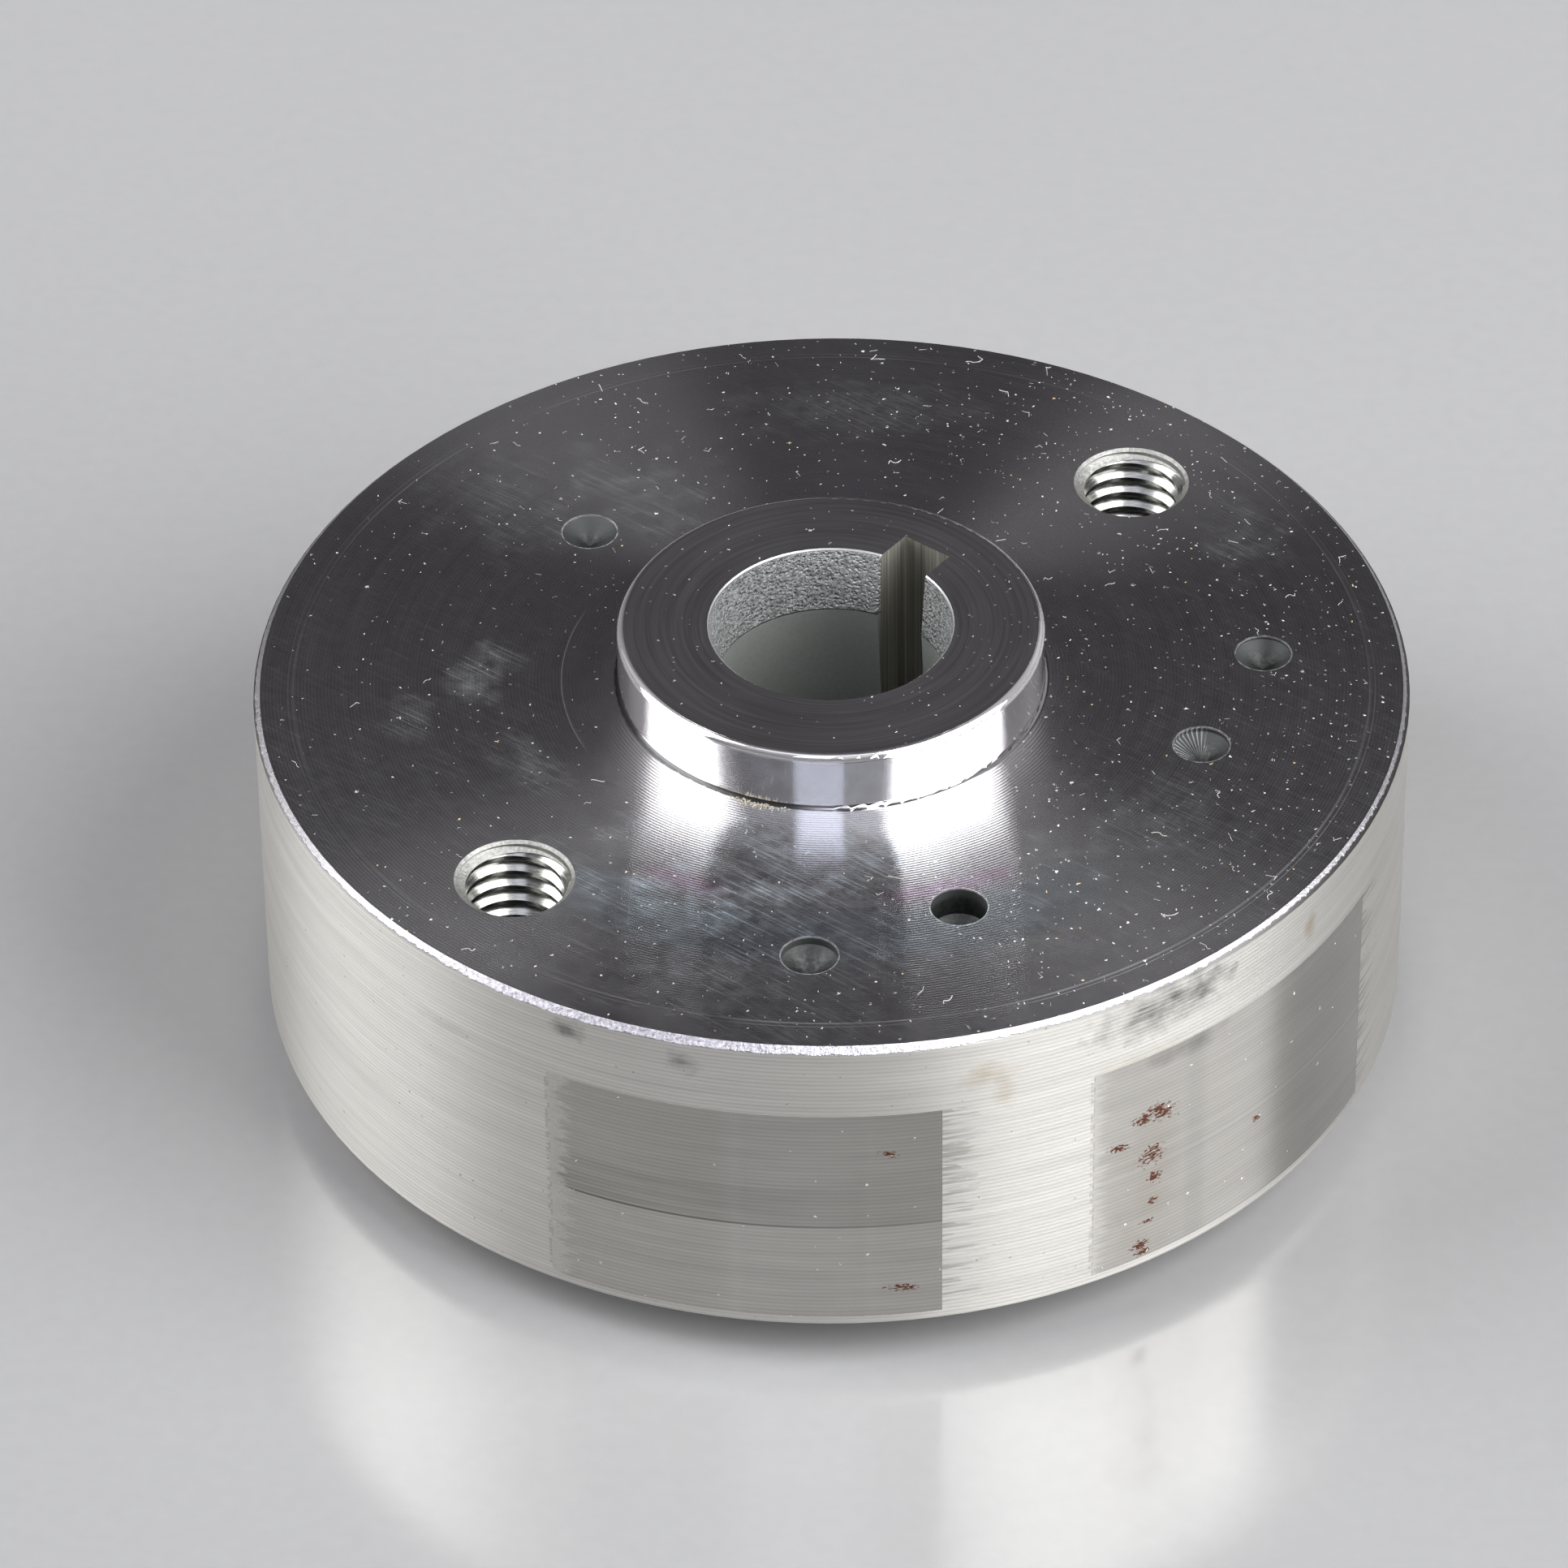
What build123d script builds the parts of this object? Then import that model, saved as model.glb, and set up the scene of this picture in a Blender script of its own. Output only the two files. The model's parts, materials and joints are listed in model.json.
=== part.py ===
"""Magneto rotor for a small engine.

A turned aluminium casting with a boss, a tapered and keyed bore, two tapped puller holes and a few
balance drillings. Two steel pole shoes are cast in flush with the rim, one on each side of a magnet.

The origin is the centre of the bore on the rear hub's face, with +Z along the bore towards the front
boss. Lengths are in millimetres. Angles are in degrees, anticlockwise from +X seen from the front.
"""
from build123d import *
from math import asin, cos, degrees, radians, sin, sqrt, tan
import os

# Disc
RIM_DIAMETER = 62.0
RIM_WIDTH = 19.0
FRONT_EDGE_BREAK = 0.35
REAR_EDGE_BREAK = 0.25

# Front boss, where the shaft nut seats
BOSS_DIAMETER = 22.9
BOSS_HEIGHT = 3.5
BOSS_EDGE_RADIUS = 0.45
BOSS_FOOT_RADIUS = 0.25

# Rear hub, which stands proud of the disc's rear face
HUB_DIAMETER = 24.0
HUB_HEIGHT = 2.5
HUB_EDGE_BREAK = 0.4

# Bore: a cast mouth that narrows to the throat, then a tapered seat that widens to the rear
MOUTH_DIAMETER = 13.0
MOUTH_EDGE_BREAK = 0.12
MOUTH_DEPTH = 3.8
SEAT_LARGE_DIAMETER = 15.0
SEAT_TAPER = 1 / 8

# Keyway, broached straight through the bore
KEYWAY_WIDTH = 3.0
KEYWAY_DEPTH = 2.0
KEYWAY_ANGLE = 51.5

# Two tapped holes for the puller, M6 x 1 in the front face
THREAD_DIAMETER = 6.0
TAP_DRILL_DIAMETER = 5.0
THREAD_DEPTH = 12.0
TAP_DRILL_DEPTH = 15.0
COUNTERSINK_DIAMETER = 6.35
PULLER_CIRCLE_DIAMETER = 47.5
PULLER_HOLE_COUNT = 2
PULLER_ANGLE = 45.2

# Balance drillings in the front face: radius, angle and depth to the drill's tip
BALANCE_DRILL_DIAMETER = 3.0
BALANCE_DRILLINGS = (
    (23.45, -93.4, 1.4),
    (20.65, -71.9, 2.6),
    (20.60, -18.0, 1.2),
    (23.30, 3.5, 1.1),
    (18.40, 135.3, 1.0),
)
DRILL_POINT_ANGLE = 118.0

# Magnet and pole shoes, cast in between a thick front wall and a thin rear one
MAGNET_ANGLE = -72.45
MAGNET_WIDTH = 8.25
MAGNET_DEPTH = 10.0
MAGNET_COVER = 3.5
SHOE_FRONT_WALL = 4.5
SHOE_REAR_WALL = 0.7
SHOE_END_ANGLE = 46.6
SHOE_THICKNESS = 4.5
SHOE_LEG_THICKNESS = 4.0
SHOE_TIP_UNDERCUT = 1.2
SHOE_INNER_RADIUS = 1.5

# Heights and radii that follow from the sizes above
RIM_RADIUS = RIM_DIAMETER / 2
FACE_Z = HUB_HEIGHT + RIM_WIDTH
BOSS_Z = FACE_Z + BOSS_HEIGHT
THROAT_Z = BOSS_Z - MOUTH_DEPTH
THROAT_RADIUS = (SEAT_LARGE_DIAMETER - THROAT_Z * SEAT_TAPER) / 2
SHOE_BOTTOM_Z = HUB_HEIGHT + SHOE_REAR_WALL
SHOE_HEIGHT = RIM_WIDTH - SHOE_FRONT_WALL - SHOE_REAR_WALL
MAGNET_INNER = RIM_RADIUS - MAGNET_COVER - MAGNET_DEPTH


def quarter_arc(start, end, centre):
    """A quarter-round edge between two points of the turned outline."""
    radius = abs(start[0] - end[0])
    middle = []
    for axis in range(2):
        outward = start[axis] + end[axis] - 2 * centre[axis]
        middle.append(centre[axis] + radius * sqrt(0.5) * (1 if outward > 0 else -1))
    return ThreePointArc(start, tuple(middle), end)


def turned_blank():
    """The whole lathe form: rear hub, disc, front boss and the two cones of the bore."""
    hub = HUB_DIAMETER / 2
    boss = BOSS_DIAMETER / 2
    mouth = MOUTH_DIAMETER / 2
    outer = [
        (THROAT_RADIUS, THROAT_Z),
        (SEAT_LARGE_DIAMETER / 2, 0),
        (hub - HUB_EDGE_BREAK, 0),
        (hub, HUB_EDGE_BREAK),
        (hub, HUB_HEIGHT),
        (RIM_RADIUS - REAR_EDGE_BREAK, HUB_HEIGHT),
        (RIM_RADIUS, HUB_HEIGHT + REAR_EDGE_BREAK),
        (RIM_RADIUS, FACE_Z - FRONT_EDGE_BREAK),
        (RIM_RADIUS - FRONT_EDGE_BREAK, FACE_Z),
        (boss + BOSS_FOOT_RADIUS, FACE_Z),
    ]
    foot_top = (boss, FACE_Z + BOSS_FOOT_RADIUS)
    edge_start = (boss, BOSS_Z - BOSS_EDGE_RADIUS)
    edge_end = (boss - BOSS_EDGE_RADIUS, BOSS_Z)
    inner = [
        edge_end,
        (mouth + MOUTH_EDGE_BREAK, BOSS_Z),
        (mouth, BOSS_Z - MOUTH_EDGE_BREAK),
        (THROAT_RADIUS, THROAT_Z),
    ]
    with BuildPart() as blank:
        with BuildSketch(Plane.XZ):
            with BuildLine():
                Polyline(*outer)
                quarter_arc(outer[-1], foot_top, (foot_top[0] + BOSS_FOOT_RADIUS, foot_top[1]))
                Line(foot_top, edge_start)
                quarter_arc(edge_start, edge_end, (edge_end[0], edge_start[1]))
                Polyline(*inner)
            make_face()
        revolve(axis=Axis.Z)
    return blank.part


def keyway_cutter():
    """A straight slot from the bore's axis out to the keyway's flat floor."""
    floor = MOUTH_DIAMETER / 2 + KEYWAY_DEPTH
    slot = Box(floor, KEYWAY_WIDTH, BOSS_Z, align=(Align.MIN, Align.CENTER, Align.MIN))
    return Rot(0, 0, KEYWAY_ANGLE) * slot


def at_polar(radius, angle, height):
    """The place at a radius and an angle about the bore."""
    return Pos(radius * cos(radians(angle)), radius * sin(radians(angle)), height)


def drilled_hole(diameter, tip_depth):
    """A drill's own shape, with its point down and its top level with the local origin."""
    radius = diameter / 2
    point = radius / tan(radians(DRILL_POINT_ANGLE / 2))
    section = Polyline((0, 0), (radius, 0), (radius, point - tip_depth), (0, -tip_depth), close=True)
    return revolve(make_face(Plane.XZ * section), axis=Axis.Z)


def puller_hole():
    """One tapped hole at the thread's major diameter, with its tap drilling and countersink."""
    thread = THREAD_DIAMETER / 2
    mouth = COUNTERSINK_DIAMETER / 2
    tap_point = TAP_DRILL_DIAMETER / 2 / tan(radians(DRILL_POINT_ANGLE / 2))
    hole = drilled_hole(TAP_DRILL_DIAMETER, TAP_DRILL_DEPTH + tap_point)
    hole += Cylinder(thread, THREAD_DEPTH, align=(Align.CENTER, Align.CENTER, Align.MAX))
    countersink = Pos(0, 0, thread - mouth) * Cone(
        thread, mouth, mouth - thread, align=(Align.CENTER, Align.CENTER, Align.MIN)
    )
    return hole + countersink


def pole_shoe(side):
    """A steel pole shoe on one side (+1 or -1) of the magnet, as cast in.

    Its outer face lies in the rim, its leg lies along the magnet's pole, and its far end is
    undercut so that the casting holds it.
    """
    back = RIM_RADIUS - SHOE_THICKNESS
    flank = MAGNET_WIDTH / 2
    leg = flank + SHOE_LEG_THICKNESS
    rim_start = degrees(asin(flank / RIM_RADIUS))
    tip_end = SHOE_END_ANGLE + degrees(SHOE_TIP_UNDERCUT / back)
    leg_start = degrees(asin(leg / back))
    with BuildPart() as shoe:
        with BuildSketch():
            with BuildLine():
                rim = CenterArc((0, 0), RIM_RADIUS, rim_start, SHOE_END_ANGLE - rim_start)
                inside = CenterArc((0, 0), back, leg_start, tip_end - leg_start)
                Line(rim @ 1, inside @ 1)
                Polyline(inside @ 0, (MAGNET_INNER, leg), (MAGNET_INNER, flank), rim @ 0)
            make_face()
            corner = vertices().sort_by_distance(inside @ 0)[0]
            fillet(corner, SHOE_INNER_RADIUS)
        extrude(amount=SHOE_HEIGHT)
    solid = shoe.part if side > 0 else mirror(shoe.part, about=Plane.XZ)
    return Pos(0, 0, SHOE_BOTTOM_Z) * Rot(0, 0, MAGNET_ANGLE) * solid


def magnet_block():
    """The block magnet between the two shoes' legs, magnetised from one leg to the other."""
    block = Box(MAGNET_DEPTH, MAGNET_WIDTH, SHOE_HEIGHT, align=(Align.MIN, Align.CENTER, Align.MIN))
    return Rot(0, 0, MAGNET_ANGLE) * Pos(MAGNET_INNER, 0, SHOE_BOTTOM_Z) * block


def rotor_body(cast_in):
    """The aluminium casting, machined all over, around the pieces that are cast into it."""
    body = turned_blank() - keyway_cutter()
    for index in range(PULLER_HOLE_COUNT):
        angle = PULLER_ANGLE + index * 360 / PULLER_HOLE_COUNT
        body -= at_polar(PULLER_CIRCLE_DIAMETER / 2, angle, FACE_Z) * puller_hole()
    for radius, angle, depth in BALANCE_DRILLINGS:
        body -= at_polar(radius, angle, FACE_Z) * drilled_hole(BALANCE_DRILL_DIAMETER, depth)
    for piece in cast_in:
        body -= piece
    return body


def main():
    left_shoe = pole_shoe(-1)
    right_shoe = pole_shoe(+1)
    magnet = magnet_block()
    nodes = {
        "rotor_body": rotor_body((left_shoe, right_shoe, magnet)),
        "pole_shoe_left": left_shoe,
        "pole_shoe_right": right_shoe,
        "magnet": magnet,
    }
    os.makedirs("parts", exist_ok=True)
    for name, part in nodes.items():
        export_step(part, f"parts/{name}.step")


main()
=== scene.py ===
"""Dresses the magneto rotor for a studio picture.

The rotor is a turned aluminium disc with two steel pole shoes flush in its rim. It lies on its rear
hub on a pale, glossy table between two softboxes, with its mirror-turned front face up.

Blender's lengths are metres. The materials work in millimetres, from each piece's own Object
coordinates. Azimuths are in degrees from the front (-Y) towards +X, and a place in the rim is an
arc along the rim from azimuth 0 with a height.
"""
import json
import random
from math import atan2, cos, degrees, hypot, pi, radians, sin, tan

import bpy
from mathutils import Matrix, Vector


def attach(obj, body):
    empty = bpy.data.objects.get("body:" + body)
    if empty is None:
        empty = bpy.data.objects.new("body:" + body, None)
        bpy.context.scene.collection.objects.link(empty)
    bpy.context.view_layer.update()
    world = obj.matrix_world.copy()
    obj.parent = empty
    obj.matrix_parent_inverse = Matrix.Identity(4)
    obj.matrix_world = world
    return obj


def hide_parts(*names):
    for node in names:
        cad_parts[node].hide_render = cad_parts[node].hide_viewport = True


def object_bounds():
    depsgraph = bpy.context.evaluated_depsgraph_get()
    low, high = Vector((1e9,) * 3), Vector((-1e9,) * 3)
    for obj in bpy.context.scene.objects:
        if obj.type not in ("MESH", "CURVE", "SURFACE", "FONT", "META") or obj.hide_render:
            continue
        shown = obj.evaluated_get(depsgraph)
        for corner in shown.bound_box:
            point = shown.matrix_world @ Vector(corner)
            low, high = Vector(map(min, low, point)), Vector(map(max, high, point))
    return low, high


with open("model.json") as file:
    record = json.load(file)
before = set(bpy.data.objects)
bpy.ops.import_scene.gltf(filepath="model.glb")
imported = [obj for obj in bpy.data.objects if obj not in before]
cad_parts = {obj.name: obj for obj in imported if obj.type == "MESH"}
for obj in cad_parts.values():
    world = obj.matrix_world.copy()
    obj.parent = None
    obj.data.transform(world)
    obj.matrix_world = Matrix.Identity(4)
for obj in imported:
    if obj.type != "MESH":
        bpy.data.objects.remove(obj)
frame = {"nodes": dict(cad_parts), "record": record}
CAD_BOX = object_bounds()

bl_info = {
    "name": "Magneto Rotor Dressing",
    "version": (1, 0, 0),
    "blender": (4, 5, 0),
    "location": "3D View > Sidebar > Rotor",
    "description": "Finishes, threads, dust and studio for a turned magneto rotor",
    "category": "Object",
}

MM = 0.001
BODY_NODE = "rotor_body"
SHOE_NODES = ("pole_shoe_left", "pole_shoe_right")
MAGNET_NODE = "magnet"

# The rotor's own places, in millimetres
RIM_RADIUS = CAD_BOX[1].x / MM
BOSS_TOP = CAD_BOX[1].z / MM
FACE = BOSS_TOP - 3.5
RIM_BOTTOM = 2.5
RIM_EDGE = 0.35
BOSS_RADIUS = 11.45
BOSS_EDGE = 0.45
BOSS_FOOT = 11.7
MOUTH_RADIUS = 6.5
MOUTH_BOTTOM = BOSS_TOP - 3.8
KEYWAY_REACH = 8.9
KEYWAY_AZIMUTH = 141.5
KEYWAY_HALF_TURN = 13.6
SHOE_BOTTOM = 3.2
SHOE_TOP = 17.0
SHOE_STEP = 9.4
BETWEEN_SHOES = 18.0
SCRIBED_RADIUS = 29.0
FEED = 0.255
FACE_FEED = 0.185
THREAD_RADIUS = 3.0
COUNTERSINK_RADIUS = 3.175
COUNTERSINK_DEPTH = 0.51
DRILL_RADIUS = 1.5
PULLER_AZIMUTH = 135.2
# Radius and azimuth of the balance drillings
DRILLINGS = ((23.45, -3.4), (20.65, 18.1), (20.60, 72.0), (23.30, 93.5), (18.40, -134.7))
# The drilling with chatter marks, and the one with painted shade on its right side
CHATTERED_DRILLING = 2
PAINTED_SHADE_DRILLING = 3


def azimuth_of(x, y):
    """Degrees from the front (-Y) towards +X."""
    return degrees(atan2(x, -y))


def at_azimuth(radius, azimuth, height=0.0):
    """The point at a radius and an azimuth about the bore."""
    turn = radians(azimuth)
    return Vector((radius * sin(turn), -radius * cos(turn), height))


def arc(azimuth):
    """Millimetres along the rim from azimuth 0."""
    return radians(azimuth) * RIM_RADIUS


def rim_span(node):
    """The azimuths between which a CAD node shows in the rim."""
    places = [v.co / MM for v in frame["nodes"][node].data.vertices]
    found = [azimuth_of(p.x, p.y) for p in places if hypot(p.x, p.y) > RIM_RADIUS - 0.1]
    return min(found), max(found)


def puller_holes():
    """The centres of the tapped holes in the front face, from the record's bolt pattern."""
    mounts = frame["record"]["mounts"]
    pattern = next(mount for mount in mounts if mount["kind"] == "bolt_pattern")
    radius = pattern["dims"]["pcd_mm"] / 2
    return [at_azimuth(radius, PULLER_AZIMUTH + turn, FACE) for turn in (0.0, 180.0)]


# ---- Node building ----
class Graph:
    """Adds nodes to one node tree. An input is fed from a plain value or another node's output."""

    def __init__(self, tree):
        self.tree = tree

    def node(self, kind, inputs=None, **settings):
        made = self.tree.nodes.new(kind)
        for name, value in settings.items():
            setattr(made, name, value)
        for key, value in (inputs or {}).items():
            self.feed(made.inputs[key], value)
        return made

    def feed(self, socket, value):
        if isinstance(value, bpy.types.NodeSocket):
            self.tree.links.new(value, socket)
        elif socket.type == "RGBA" and len(value) == 3:
            socket.default_value = (*value, 1.0)
        else:
            socket.default_value = value

    def math(self, operation, *values, clamp=False):
        made = self.node("ShaderNodeMath", operation=operation, use_clamp=clamp)
        for socket, value in zip(made.inputs, values):
            self.feed(socket, value)
        return made.outputs[0]

    def vector(self, operation, *values):
        made = self.node("ShaderNodeVectorMath", operation=operation)
        for socket, value in zip(made.inputs, values):
            self.feed(socket, value)
        return made.outputs["Value" if operation in ("LENGTH", "DOT_PRODUCT") else "Vector"]

    def distance(self, vector, point):
        return self.vector("LENGTH", self.vector("SUBTRACT", vector, tuple(point)))

    def scaled(self, vector, scale):
        inputs = {"Vector": vector, "Scale": scale}
        return self.node("ShaderNodeVectorMath", inputs, operation="SCALE").outputs["Vector"]

    def join(self, x=0.0, y=0.0, z=0.0):
        return self.node("ShaderNodeCombineXYZ", {0: x, 1: y, 2: z}).outputs[0]

    def split(self, vector):
        return self.node("ShaderNodeSeparateXYZ", {0: vector}).outputs

    def grey(self, value):
        return self.join(value, value, value)

    def rise(self, value, at, width, low=0.0, high=1.0):
        """A smooth step from low to high, centred at a value."""
        if isinstance(width, bpy.types.NodeSocket):
            value = self.math("DIVIDE", self.minus(value, at), width)
            at, width = 0.0, 1.0
        inputs = {"Value": value, "From Min": at - width / 2, "From Max": at + width / 2}
        inputs |= {"To Min": low, "To Max": high}
        made = self.node("ShaderNodeMapRange", inputs, interpolation_type="SMOOTHSTEP")
        return made.outputs["Result"]

    def fall(self, value, at, width, low=0.0):
        """A smooth step from 1 down to low, centred at a value."""
        return self.rise(value, at, width, 1, low)

    def remap(self, value, from_low, from_high, low=0.0, high=1.0):
        inputs = {"Value": value, "From Min": from_low, "From Max": from_high}
        inputs |= {"To Min": low, "To Max": high}
        return self.node("ShaderNodeMapRange", inputs).outputs["Result"]

    def band(self, value, low, high, soft):
        """1 between low and high, with soft ends."""
        return self.product(self.rise(value, low, soft), self.fall(value, high, soft))

    def plus(self, first, second):
        return self.math("ADD", first, second)

    def minus(self, first, second):
        return self.math("SUBTRACT", first, second)

    def product(self, *values):
        out = values[0]
        for value in values[1:]:
            out = self.math("MULTIPLY", out, value)
        return out

    def strongest(self, *values):
        out = values[0]
        for value in values[1:]:
            out = self.math("MAXIMUM", out, value)
        return out

    def without(self, value, hole):
        """value where hole is 0."""
        return self.product(value, self.minus(1.0, hole))

    def shade(self, factor, first, second, blend="MIX"):
        made = self.node("ShaderNodeMix", {0: factor, 6: first, 7: second}, data_type="RGBA")
        made.blend_type = blend
        return made.outputs[2]

    def lerp(self, factor, first, second):
        made = self.node("ShaderNodeMix", {0: factor, 2: first, 3: second}, data_type="FLOAT")
        return made.outputs[0]

    def turned(self, vector, angle):
        """A vector turned about Z."""
        made = self.node("ShaderNodeVectorRotate", {"Vector": vector, "Angle": angle})
        made.rotation_type = "Z_AXIS"
        return made.outputs[0]

    def noise(self, vector, scale=1.0, detail=2.0, roughness=0.5):
        inputs = {"Vector": vector, "Scale": scale, "Detail": detail, "Roughness": roughness}
        return self.node("ShaderNodeTexNoise", inputs).outputs["Fac"]

    def stretched(self, vector, x, y, z, detail=2.0, roughness=0.5):
        """Noise with its own scale along each axis, in cycles per millimetre."""
        return self.noise(self.vector("MULTIPLY", vector, (x, y, z)), 1.0, detail, roughness)

    def group(self, title, **inputs):
        """Uses a shared effect, which is built the first time that it is asked for."""
        tree = bpy.data.node_groups.get(title) or SHARED_EFFECTS[title]()
        made = self.node("ShaderNodeGroup", node_tree=tree)
        for name, value in inputs.items():
            self.feed(made.inputs[name.replace("_", " ")], value)
        return made.outputs


class Finish:
    """A surface's colour, roughness, metal and relief, laid on coat by coat."""

    def __init__(self, graph, colour, rough, metal=1.0, relief=0.0):
        self.graph = graph
        self.colour, self.rough, self.metal, self.relief = colour, rough, metal, relief

    def lay(self, mask, colour=None, rough=None, metal=None):
        """Covers what is there where the mask is 1."""
        g = self.graph
        if colour is not None:
            self.colour = g.shade(mask, self.colour, colour)
        if rough is not None:
            self.rough = g.lerp(mask, self.rough, rough)
        if metal is not None:
            self.metal = g.lerp(mask, self.metal, metal)

    def tint(self, mask, colour):
        """Multiplies the colour where the mask is 1."""
        self.colour = self.graph.shade(mask, self.colour, colour, "MULTIPLY")

    def tone(self, value):
        """Multiplies the colour by a grey value."""
        self.colour = self.graph.shade(1.0, self.colour, self.graph.grey(value), "MULTIPLY")

    def raise_by(self, millimetres):
        self.relief = self.graph.plus(self.relief, millimetres)

    def connect(self, shader, turned_at=None, normal=None):
        """Feeds the shader. A turned surface gives its place, and its gloss crosses the marks."""
        g = self.graph
        if turned_at is not None:
            g.feed(shader.inputs["Tangent"], across_the_grooves(g, turned_at))
        bump = g.node("ShaderNodeBump", {"Height": self.relief, "Strength": 1.0, "Distance": MM})
        if normal is not None:
            g.feed(bump.inputs["Normal"], normal)
        g.feed(shader.inputs["Base Color"], self.colour)
        g.feed(shader.inputs["Roughness"], self.rough)
        g.feed(shader.inputs["Metallic"], self.metal)
        g.feed(shader.inputs["Normal"], bump.outputs["Normal"])


def shader_group(name, inputs, outputs):
    """An empty shader node group. Returns its graph, its input sockets and a function to end it.

    inputs gives each socket's default, or None for a vector that is always linked, and outputs
    gives each socket's kind.
    """
    tree = bpy.data.node_groups.new(name, "ShaderNodeTree")
    for title, default in inputs.items():
        kind = "Float" if isinstance(default, float) else "Vector"
        socket = tree.interface.new_socket(title, in_out="INPUT", socket_type="NodeSocket" + kind)
        if default is not None:
            socket.default_value = default
    for title, kind in outputs.items():
        tree.interface.new_socket(title, in_out="OUTPUT", socket_type="NodeSocket" + kind)
    graph = Graph(tree)
    entry = tree.nodes.new("NodeGroupInput")
    end = tree.nodes.new("NodeGroupOutput")

    def close(**results):
        for title, value in results.items():
            graph.feed(end.inputs[title.replace("_", " ")], value)
        return tree

    return graph, entry.outputs, close


def polar_group():
    """Object coordinates in millimetres, and the same place as radius, azimuth and height."""
    outputs = {"Position": "Vector", "Radius": "Float", "Azimuth": "Float", "Height": "Float"}
    outputs |= {"Unrolled": "Vector", "Round": "Vector"}
    g, _, close = shader_group("Polar Coordinates", {}, outputs)
    place = g.scaled(g.node("ShaderNodeTexCoord").outputs["Object"], 1 / MM)
    x, y, z = g.split(place)
    flat = g.join(x, y)
    radius = g.vector("LENGTH", flat)
    angle = g.math("ARCTAN2", x, g.product(y, -1.0))
    along = g.product(angle, RIM_RADIUS)
    return close(
        Position=place,
        Radius=radius,
        Azimuth=g.math("DEGREES", angle),
        Height=z,
        Unrolled=g.join(along, z),
        Round=g.vector("NORMALIZE", flat),
    )


def turned_lines_group():
    """Tool marks round an axis: they vary quickly across and slowly along the cut.

    Round is the direction out from the axis, so that the marks meet where the azimuth wraps. Feed
    is the hollow that a round-nosed tool leaves at each turn, from 0 to 1.
    """
    inputs = {"Round": None, "Across": 0.0, "Pitch": 0.13, "Wander": 1.5}
    g, given, close = shader_group("Turned Lines", inputs, {"Tone": "Float", "Feed": "Float"})
    fx, fy, _ = g.split(g.scaled(given["Round"], given["Wander"]))
    across = g.math("DIVIDE", given["Across"], given["Pitch"])
    uneven = g.noise(g.join(fx, fy, across), 1.0, 3.0, 0.65)
    broad = g.noise(g.join(fx, fy, g.product(across, 0.13)), 1.0, 2.0, 0.5)
    tone = g.plus(g.product(uneven, 0.65), g.product(broad, 0.35))
    part = g.minus(g.math("FRACT", across), 0.5)
    feed = g.product(part, part, 4.0)
    return close(Tone=g.remap(tone, 0.25, 0.75), Feed=feed)


def specks_group():
    """Small ragged flecks over a surface's own plane, one to a cell and kept by chance."""
    inputs = {"Place": None, "Spacing": 0.8, "Size": 0.2, "Share": 0.3}
    g, given, close = shader_group("Specks", inputs, {"Mask": "Float", "Chance": "Float"})
    wobble = g.node("ShaderNodeTexNoise", {"Vector": given["Place"], "Scale": 7.0, "Detail": 1.0})
    wobble.noise_dimensions = "2D"
    shift = g.vector("SUBTRACT", wobble.outputs["Color"], (0.5, 0.5, 0.5))
    shift = g.scaled(shift, g.product(given["Size"], 1.8))
    per_cell = g.math("DIVIDE", 1.0, given["Spacing"])
    place = g.scaled(g.vector("ADD", given["Place"], shift), per_cell)
    cells = g.node("ShaderNodeTexVoronoi", {"Vector": place, "Scale": 1.0}, voronoi_dimensions="2D")
    chance = g.split(cells.outputs["Color"])
    kept = g.math("LESS_THAN", chance[0], given["Share"])
    reach = g.product(given["Size"], g.remap(chance[1], 0, 1, 0.2, 0.5))
    reach = g.math("DIVIDE", reach, given["Spacing"])
    inside = g.math("LESS_THAN", cells.outputs["Distance"], reach)
    return close(Mask=g.product(kept, inside), Chance=chance[2])


def clouds_group():
    """The slow and the fine noise that patches share, from 0 to 1."""
    inputs = {"Place": None, "Grain": 1.0}
    g, given, close = shader_group("Clouds", inputs, {"Slow": "Float", "Fine": "Float"})
    slow = g.noise(given["Place"], g.product(given["Grain"], 0.6), 3.0)
    fine = g.noise(given["Place"], g.product(given["Grain"], 5.0), 4.0, 0.7)
    return close(Slow=g.remap(slow, 0.3, 0.7), Fine=fine)


def patch_group():
    """A soft or a broken patch: an oval round a centre, turned, with its own half sizes."""
    inputs = {"Place": None, "Slow": 0.5, "Fine": 0.5, "Centre": None, "Size": (1.0, 1.0, 1.0)}
    inputs |= {"Turn": 0.0, "Broken": 0.0}
    g, given, close = shader_group("Patch", inputs, {"Mask": "Float"})
    moved = g.vector("SUBTRACT", given["Place"], given["Centre"])
    flat = g.vector("MULTIPLY", g.turned(moved, given["Turn"]), (1.0, 1.0, 0.0))
    far = g.vector("LENGTH", g.vector("DIVIDE", flat, given["Size"]))
    far = g.plus(far, g.remap(given["Slow"], 0, 1, -0.35, 0.35))
    soft = g.math("SUBTRACT", 1.0, far, clamp=True)
    ragged = g.rise(g.plus(given["Fine"], g.product(soft, 0.26)), 0.65, 0.05)
    ragged = g.product(ragged, g.rise(soft, 0.05, 0.1))
    return close(Mask=g.lerp(given["Broken"], soft, ragged))


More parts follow.
